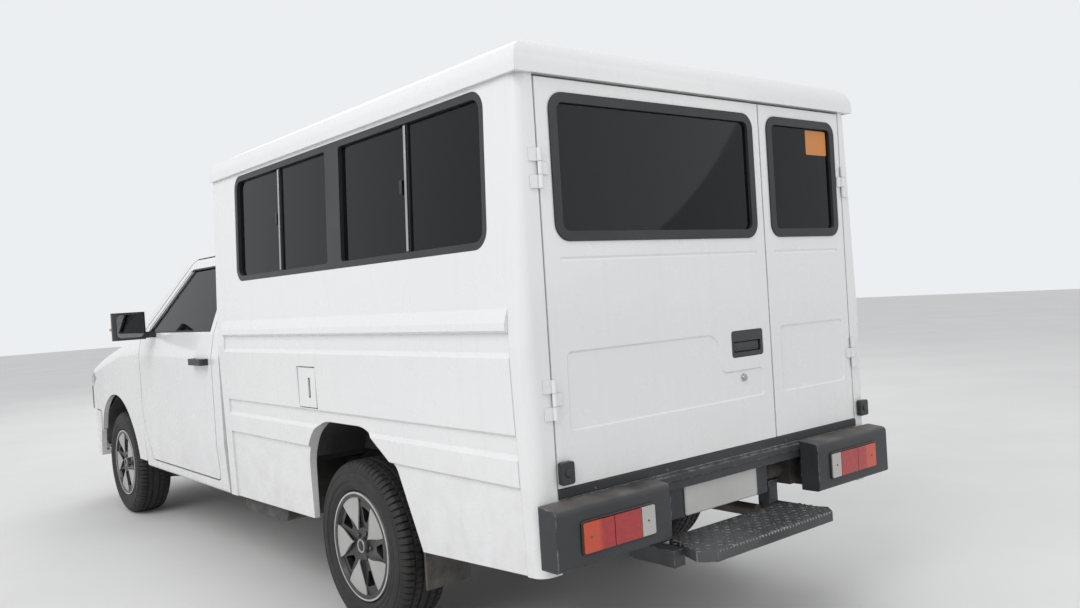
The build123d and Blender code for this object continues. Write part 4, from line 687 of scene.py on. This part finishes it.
# Step: raised lozenges in two directions over the plate, worn beads along the front edge
LOZENGE_HALF, LOZENGE_WIDTH = 9.5, 3.2
DIAGONAL = 0.7071
form = bmesh.new()
pitch = 26.0
for i in range(-14, 15):
    for j in range(9):
        x, y = -1292 + pitch * j * 0.9, pitch * i
        room = 352 if x > -1250 else 352 - (-1250 - x)
        if x > -1140:
            room = 345 - (x + 1140) * 0.55
        if abs(y) + 12 > room or x > -1095:
            continue
        lean = 1 if (i + j) % 2 else -1
        ux, uy = DIAGONAL, DIAGONAL * lean
        ends = [(x + ux * LOZENGE_HALF, y + uy * LOZENGE_HALF),
                (x - uy * LOZENGE_WIDTH, y + ux * LOZENGE_WIDTH),
                (x - ux * LOZENGE_HALF, y - uy * LOZENGE_HALF),
                (x + uy * LOZENGE_WIDTH, y - ux * LOZENGE_WIDTH)]
        base = [form.verts.new(at(a, b, 429.8)) for a, b in ends]
        top = [form.verts.new(at(x + (a - x) * 0.6, y + (b - y) * 0.6, 432.6)) for a, b in ends]
        form.faces.new(top)
        for k in range(4):
            form.faces.new((base[k], base[(k + 1) % 4], top[(k + 1) % 4], top[k]))
make("step_tread", form, TREAD_PLATE, "vehicle", 60.0)
form = bmesh.new()
for i in range(-18, 19):
    y = 16.5 * i
    add_bar(form, (-1298, y, 428), (-1302, y + 5, 424), 4.2, 8, 2.8)
make("step_worn_edge", form, WORN, "vehicle", bevel=0.5)
tube("step_rolled_edge", [(-1298, -306, 413), (-1299.5, -306, 413), (-1299.5, 306, 413),
                          (-1298, 306, 413)], 3.0, TREAD_PLATE, "vehicle")

# Mud flap bolts
form = bmesh.new()
for side in (1, -1):
    for y in (640, 700, 760):
        add_bar(form, (-414, side * y, 628), (-418, side * y, 628), 7, 18, 5.5)
make("mud_flap_bolts", form, DULL, "vehicle", bevel=0.5)

# Fuel flap slot and pull
form = bmesh.new()
flap_y = 876.3
add_plate(form, [(x, flap_y, z) for x, z in rounded(244, 261, 891, 973, 5)], (0, -1.5, 0),
          (0, 1.2, 0))
make("fuel_flap_slot", form, TRIM, "fuel_flap", bevel=1.5)
form = bmesh.new()
add_plate(form, [(x, flap_y + 0.9, z) for x, z in rounded(248, 257, 897, 967, 4)], (0, -1.0, 0),
          (0, 0.6, 0))
make("fuel_flap_pull", form, STEEL, "fuel_flap", bevel=0.6)


# Cab and nose: wipers, mirror faces, locks, pane rubbers, jets, louvres, front plate, fog lamps
WIPER_ROOT_X, WIPER_TIP_X = 2594, 2480
BLADE_LENGTH = 500


def screen_z(x):
    """Height of the windscreen's plane."""
    return SCREEN_FOOT_Z + (SCREEN_FOOT_X - x) / SCREEN_RUN * SCREEN_RISE


def wiper(name, root_y, tip_y):
    """Arm and blade lying on the lower windscreen."""
    knee = WIPER_ROOT_X + 6, root_y, 1160
    tip = WIPER_TIP_X + 14, tip_y, screen_z(WIPER_TIP_X) + 20
    tube(name + "_arm", [(WIPER_ROOT_X + 18, root_y, 1112), knee, tip], 4.5, TRIM, "vehicle")
    blade = []
    for k in range(7):
        share = k / 6
        x = WIPER_TIP_X + 10 - 8 * sin(pi * share) + 26 * (share - 0.5)
        blade.append((x, tip_y + BLADE_LENGTH * (share - 0.5), screen_z(x) + 13))
    tube(name + "_blade", blade, 4.0, TRIM, "vehicle")


wiper("wiper_left", 130, 330)
wiper("wiper_right", -520, -300)

for side, name in ((1, "left"), (-1, "right")):
    form = bmesh.new()
    points = [(2203.6, side * y, z) for y, z in rounded(925, 1068, 1148, 1277, 22)]
    add_plate(form, points, (-1.4, 0, 0), (2, 0, 0))
    make("mirror_face_" + name, form, MIRROR, "cab_door_" + name, bevel=0.6)
    tube("mirror_frame_" + name, [(2203, side * y, z) for y, z in
                                  rounded(922, 1071, 1145, 1280, 24)], 3.0, TRIM,
         "cab_door_" + name, True)
    form = bmesh.new()
    add_bar(form, (1612, side * 866, 1014), (1612, side * 871.5, 1014), 10, 28, 8.5)
    add_bar(form, (1612, side * 871, 1014), (1612, side * 873, 1014), 5, 16, 4.5)
    make("door_lock_" + name, form, STEEL, "cab_door_" + name, bevel=0.6)
    form = bmesh.new()
    add_box(form, 2246, 2292, side * 1068 - 18, side * 1068 + 18, 1190, 1206)
    make("side_repeater_" + name, form, ORANGE, "cab_door_" + name, bevel=6,
         segments=3)

    # Black rubber round the cab door's pane, following the door's lean
    lean = []
    for x, z in ((1399, 1168), (2360, 1168), (2386, 1176), (2378, 1190), (1960, 1492),
                 (1925, 1500), (1425, 1500), (1399, 1480)):
        lean.append((x, side * (846 - (z - 1150) * 0.376 - 4), z))
    tube("door_pane_rubber_" + name, lean, 5.0, TRIM, "cab_door_" + name, True)


def on_screen(y, up, out):
    """A point at a distance up the windscreen's slope and out of its plane."""
    return (SCREEN_FOOT_X - SCREEN_COS * up + SCREEN_SIN * out, y,
            SCREEN_FOOT_Z + SCREEN_SIN * up + SCREEN_COS * out)


border = [on_screen(y, s, -4) for y, s in
          ((-700, 54), (700, 54), (745, 62), (750, 90), (640, 700), (600, 760), (560, 766),
           (-560, 766), (-600, 760), (-640, 700), (-750, 90), (-745, 62))]
tube("windscreen_rubber", border, 6.0, TRIM, "vehicle", True)
form = bmesh.new()
add_plate(form, [(2052, y, z) for y, z in rounded(-120, 120, 1478, 1540, 20)], (-8, 0, 0),
          (14, 0, 0))
add_bar(form, (2062, 0, 1528), (2084, 0, 1566), 8, 16, 6)
make("inside_mirror", form, TRIM, "vehicle", bevel=4)

form = bmesh.new()
for y in (-235, 235):
    add_bar(form, (2790, y, 1172), (2790, y, 1181), 13, 24, 8)
    add_bar(form, (2786, y, 1180), (2779, y, 1183), 3, 12, 2)
make("washer_jets", form, TRIM, "bonnet", bevel=1)

form = bmesh.new()
for i in range(27):
    y = -650 + 50 * i
    add_box(form, 2626, 2651, y - 17, y + 17, 1103.5, 1106.5)
make("cowl_louvres", form, TRIM, "vehicle", bevel=1.2)

form = bmesh.new()
add_plate(form, [(4074, y, z) for y, z in
                 rounded(-PLATE_HALF, PLATE_HALF, 486, 606, 10)], (-5, 0, 0), (3, 0, 0))
for y in (-PLATE_SCREW_Y, PLATE_SCREW_Y):
    add_bar(form, (4076, y, 582), (4079, y, 582), 7, 20, 5.5)
make("front_plate_blank", form, PLATE, "vehicle", bevel=1)

for side, name in ((1, "left"), (-1, "right")):
    form = bmesh.new()
    y = side * 628
    add_bar(form, (3950, y, 481), (3982, y, 481), 40, 40)
    add_bar(form, (3980, y, 481), (3990, y, 481), 38, 40, 33)
    make("fog_lamp_" + name, form, CLEAR_LENS, "vehicle", bevel=3)
    form = bmesh.new()
    outline = [(3940, a, z) for a, z in rounded(min(side * 570, side * 690),
                                                max(side * 570, side * 690), 430, 530, 14)]
    add_plate(form, outline, (-8, 0, 0), (4, 0, 0))
    make("fog_lamp_bezel_" + name, form, TRIM, "vehicle", bevel=4)


# Sliding windows: bright mullion strips and latches on the panes of the boxed body
PANE_EDGES_X = (486, -515)


def wall_y(z):
    """Distance of the boxed body's skin from the middle above the belt."""
    return 878.6 - 30.1 * (z - 1100) / 785


for side, name in ((1, "left"), (-1, "right")):
    form = bmesh.new()
    for x in PANE_EDGES_X:
        low, high = (x, side * (wall_y(1420) - 8), 1420), (x, side * (wall_y(1844) - 8), 1844)
        add_plate(form, [(x - 6, low[1], low[2]), (x + 6, low[1], low[2]),
                         (x + 6, high[1], high[2]), (x - 6, high[1], high[2])],
                  (0, -2, 0), (0, 2, 0))
    make("pane_mullions_" + name, form, STEEL, "vehicle", bevel=0.8)
    form = bmesh.new()
    y = side * (wall_y(1640) - 14)
    for x in (edge_x + 40 for edge_x in PANE_EDGES_X):
        add_box(form, x - 8, x + 8, y - 4, y + 4, 1615, 1665)
    make("pane_latches_" + name, form, TRIM, "vehicle", bevel=3)


# Soft seats: cushions blown up by a short cloth simulation
cushions = []


def cushion(name, points, low, high, look, seams, swell):
    """A pad from an extruded outline, remeshed evenly and made ready for the simulation."""
    form = bmesh.new()
    add_plate(form, points, low, high)
    bmesh.ops.recalc_face_normals(form, faces=form.faces)
    bmesh.ops.bevel(form, geom=form.edges[:], offset=0.022, segments=3, affect="EDGES")
    pad = make(name, form, look, "vehicle")
    remesh = pad.modifiers.new("even", "REMESH")
    remesh.mode, remesh.voxel_size = "VOXEL", VOXEL
    pad.data = applied(pad)
    pad.modifiers.clear()
    pad.data.materials.clear()
    pad.data.materials.append(look)
    cushions.append((pad, seams, swell))


def applied(obj):
    """A new mesh of the object with its modifiers in place."""
    graph = bpy.context.evaluated_depsgraph_get()
    graph.update()
    return bpy.data.meshes.new_from_object(obj.evaluated_get(graph))


def blow_up():
    """Runs the cloth of all cushions together and keeps a capped share of its movement."""
    starts = []
    for pad, _, _ in cushions:
        starts.append([v.co.copy() for v in pad.data.vertices])
        cloth = pad.modifiers.new("air", "CLOTH")
        cloth.settings.use_pressure = True
        cloth.settings.uniform_pressure_force = CLOTH_PRESSURE
        cloth.settings.effector_weights.gravity = 0.0
        cloth.settings.quality = 4
        cloth.point_cache.frame_start, cloth.point_cache.frame_end = 1, CLOTH_FRAMES
    scene = bpy.context.scene
    for step in range(1, CLOTH_FRAMES + 1):
        scene.frame_set(step)
        bpy.context.view_layer.update()
    ends = [[v.co.copy() for v in applied(pad).vertices] for pad, _, _ in cushions]
    scene.frame_set(1)
    for (pad, _, swell), start, end in zip(cushions, starts, ends):
        pad.modifiers.clear()
        cap = swell / 1000
        for vertex, a, b in zip(pad.data.vertices, start, end):
            move = b - a
            vertex.co = a + move * min(1.0, cap / move.length) if move.length > 1e-9 else a


def sew():
    """Presses the seams and sewn channels into the blown-up pads and smooths them."""
    for pad, seams, _ in cushions:
        mesh = pad.data
        mesh.update()
        normals = [v.normal.copy() for v in mesh.vertices]
        for vertex, normal in zip(mesh.vertices, normals):
            push = 0.0
            for way, place, depth in seams:
                gap = abs(vertex.co["xyz".index(way)] - place)
                push = max(push, depth * 2.718 ** (-(gap / 0.011) ** 2))
            vertex.co -= normal * push
        mesh.shade_smooth()
        pad.modifiers.new("smooth", "SUBSURF").levels = 1
        pad.modifiers["smooth"].render_levels = 1


for name, low_y, high_y in (("driver", 128, 632), ("passenger", -632, 118)):
    squab = [(1440, 0, 762), (1872, 0, 748), (1892, 0, 862), (1470, 0, 866)]
    lines = [("y", (low_y + 95) / 1000, 0.007), ("y", (high_y - 95) / 1000, 0.007),
             ("x", at(1790, 0, 0).x, 0.006)]
    cushion("seat_squab_" + name, squab, (0, low_y, 0), (0, high_y, 0), SEAT_CLOTH, lines, 14)
    back = [(1345, 0, 800), (1452, 0, 880), (1392, 0, 1366), (1312, 0, 1366)]
    lines = lines[:2] + [("z", 1.18, 0.006)]
    cushion("seat_back_" + name, back, (0, low_y, 0), (0, high_y, 0), SEAT_CLOTH, lines, 14)
form = bmesh.new()
add_plate(form, [(1362, 0, 612), (1828, 0, 612), (1840, 0, 742), (1362, 0, 756)], (0, -598, 0),
          (0, 598, 0))
base = make("seat_base", form, TRIM, "vehicle", bevel=18, segments=3)
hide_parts("cab_seat")

for side, name in ((1, "left"), (-1, "right")):
    pad = [(0, side * 490, 858), (0, side * 816, 858), (0, side * 816, 918), (0, side * 490, 918)]
    lines = [("x", at(-1040 + 363 * k, 0, 0).x, 0.008) for k in range(1, 6)]
    cushion("bench_pad_" + name, pad, (-1030, 0, 0), (1130, 0, 0), VINYL, lines, 9)
form = bmesh.new()
for side in (1, -1):
    low_y, high_y = sorted((side * 481, side * 824))
    add_box(form, -1039, 1139, low_y, high_y, 821, 849)
    for x in (-1000, 1100):
        low_y, high_y = sorted((side * 501, side * 824))
        add_box(form, x - 14, x + 14, low_y, high_y, 682, 821.5)
bench_frame = make("bench_frames", form, TRIM, "vehicle", bevel=4)
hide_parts("side_benches")
blow_up()
sew()

# Grab rails in the passenger body, on brackets under the roof
for side, name in ((1, "left"), (-1, "right")):
    y = side * 640
    tube("grab_rail_" + name, [(-900, y, 1925), (-880, y, 1868), (-850, y, 1858),
                               (950, y, 1858), (980, y, 1868), (1000, y, 1925)], 12, STEEL,
         "vehicle")

# Dashboard: hood over the gauges, vents, shelf line; steering wheel pad
form = bmesh.new()
add_plate(form, [(2292, y, z) for y, z in rounded(250, 490, 1052, 1120, 24)], (0, 0, 0),
          (92, 0, 8))
for y in (-640, -120, 120, 640):
    add_plate(form, [(2287, y + a, z) for a, z in rounded(-62, 62, 985, 1038, 10)], (-4, 0, -6),
              (8, 0, 0))
add_plate(form, [(2284, y, z) for y, z in rounded(-100, 100, 880, 968, 10)], (-2, 0, 0), (8, 0, 0))
add_plate(form, [(2286, y, z) for y, z in rounded(-680, -240, 885, 965, 12)], (-2, 0, 0), (8, 0, 0))
make("dashboard_details", form, TRIM, "vehicle", bevel=4)
tilt = Matrix.Rotation(radians(-62), 4, "Y")
form = bmesh.new()
bmesh.ops.create_uvsphere(form, u_segments=32, v_segments=16, radius=0.07)
bmesh.ops.scale(form, vec=(1.0, 1.15, 0.34), verts=form.verts)
bmesh.ops.transform(form, matrix=Matrix.Translation(at(2120, 370, 1080)) @ tilt
                    @ Matrix.Translation((0, 0, 0.018)), verts=form.verts)
make("steering_wheel_pad", form, TRIM, "vehicle")

# Underneath: spring clamps at the rear axle
form = bmesh.new()
for side in (1, -1):
    for x in (-45, 45):
        for y in (side * 509, side * 581):
            add_bar(form, (x, y, 275), (x, y, 420), 6, 12)
            add_bar(form, (x, y, 268), (x, y, 280), 11, 6)
make("spring_clamps", form, UNDERBODY, "vehicle", bevel=0.8)


# Studio: pale floor, soft lights, pale surroundings
def pale_look():
    """Matt pale floor with faint mottling."""
    look = Look("pale_floor")
    tone = look.mix(look.ramp(look.noise(0.8, 6.0), 0.3, 0.7), (0.74, 0.735, 0.725),
                    (0.69, 0.687, 0.68))
    normal = look.bump(look.noise(35.0, 5.0), 0.1, 0.002)
    return look.finish(tone, look.ramp(look.noise(5.0, 3.0), 0.3, 0.7, 0.75, 0.9), normal)


form = bmesh.new()
bmesh.ops.create_grid(form, x_segments=8, y_segments=8, size=40.0)
mesh = bpy.data.meshes.new("floor")
form.to_mesh(mesh)
form.free()
mesh.transform(Matrix.Translation((0, 0, -0.0015)))
floor = bpy.data.objects.new("floor", mesh)
bpy.context.scene.collection.objects.link(floor)
mesh.materials.append(pale_look())

world = bpy.data.worlds.new("studio")
bpy.context.scene.world = world
world.use_nodes = True
links, made = world.node_tree.links, world.node_tree.nodes
ground = made["Background"]
ground.inputs["Color"].default_value = (0.94, 0.95, 0.97, 1.0)
ground.inputs["Strength"].default_value = 0.80
seen = made.new("ShaderNodeBackground")
seen.inputs["Color"].default_value = (0.84, 0.86, 0.88, 1.0)
path = made.new("ShaderNodeLightPath")
share = path.outputs["Is Camera Ray"]
for ray in ("Is Glossy Ray", "Is Transmission Ray"):
    total = made.new("ShaderNodeMath")
    total.operation, total.use_clamp = "ADD", True
    links.new(share, total.inputs[0])
    links.new(path.outputs[ray], total.inputs[1])
    share = total.outputs[0]
choice = made.new("ShaderNodeMixShader")
links.new(share, choice.inputs[0])
links.new(ground.outputs[0], choice.inputs[1])
links.new(seen.outputs[0], choice.inputs[2])
links.new(choice.outputs[0], made["World Output"].inputs["Surface"])

for name, place, target, size, power in (
        ("key", (-3.5, 7.5, 7.5), (0, 0, 0.8), 7.0, 430),
        ("fill", (-8.0, -3.5, 4.0), (-1.5, 0, 1.0), 6.0, 60),
        ("front", (7.5, -5.0, 6.0), (1.0, 0, 0.8), 7.0, 200)):
    lamp = bpy.data.lights.new(name, "AREA")
    lamp.shape, lamp.size, lamp.energy = "DISK", size, power
    obj = bpy.data.objects.new(name, lamp)
    obj.location = place
    obj.rotation_euler = (Vector(target) - Vector(place)).to_track_quat("-Z", "Y").to_euler()
    bpy.context.scene.collection.objects.link(obj)

# Camera at the photograph's place, heading and lens
heading, tip, lean = radians(-37.9167), radians(-0.8037), radians(-3.6475)
ahead = Vector((cos(heading) * cos(tip), sin(heading) * cos(tip), sin(tip)))
level = Vector((sin(heading), -cos(heading), 0))
above = level.cross(ahead)
right = cos(lean) * level + sin(lean) * above
upper = -sin(lean) * level + cos(lean) * above
camera_data = bpy.data.cameras.new("photo_view")
camera_data.sensor_width = SENSOR_WIDTH
camera_data.lens = PHOTO_FOCAL / PHOTO_WIDTH * SENSOR_WIDTH
camera_data.shift_x, camera_data.shift_y = 0.0388, 0.0042
camera_data.clip_end = 200.0
camera = bpy.data.objects.new("photo_view", camera_data)
camera.matrix_world = Matrix.Translation(at(*CAMERA_PLACE)) @ Matrix(
    (right, upper, -ahead)).transposed().to_4x4()
bpy.context.scene.collection.objects.link(camera)
bpy.context.scene.camera = camera
bpy.context.scene.view_settings.view_transform = "Standard"
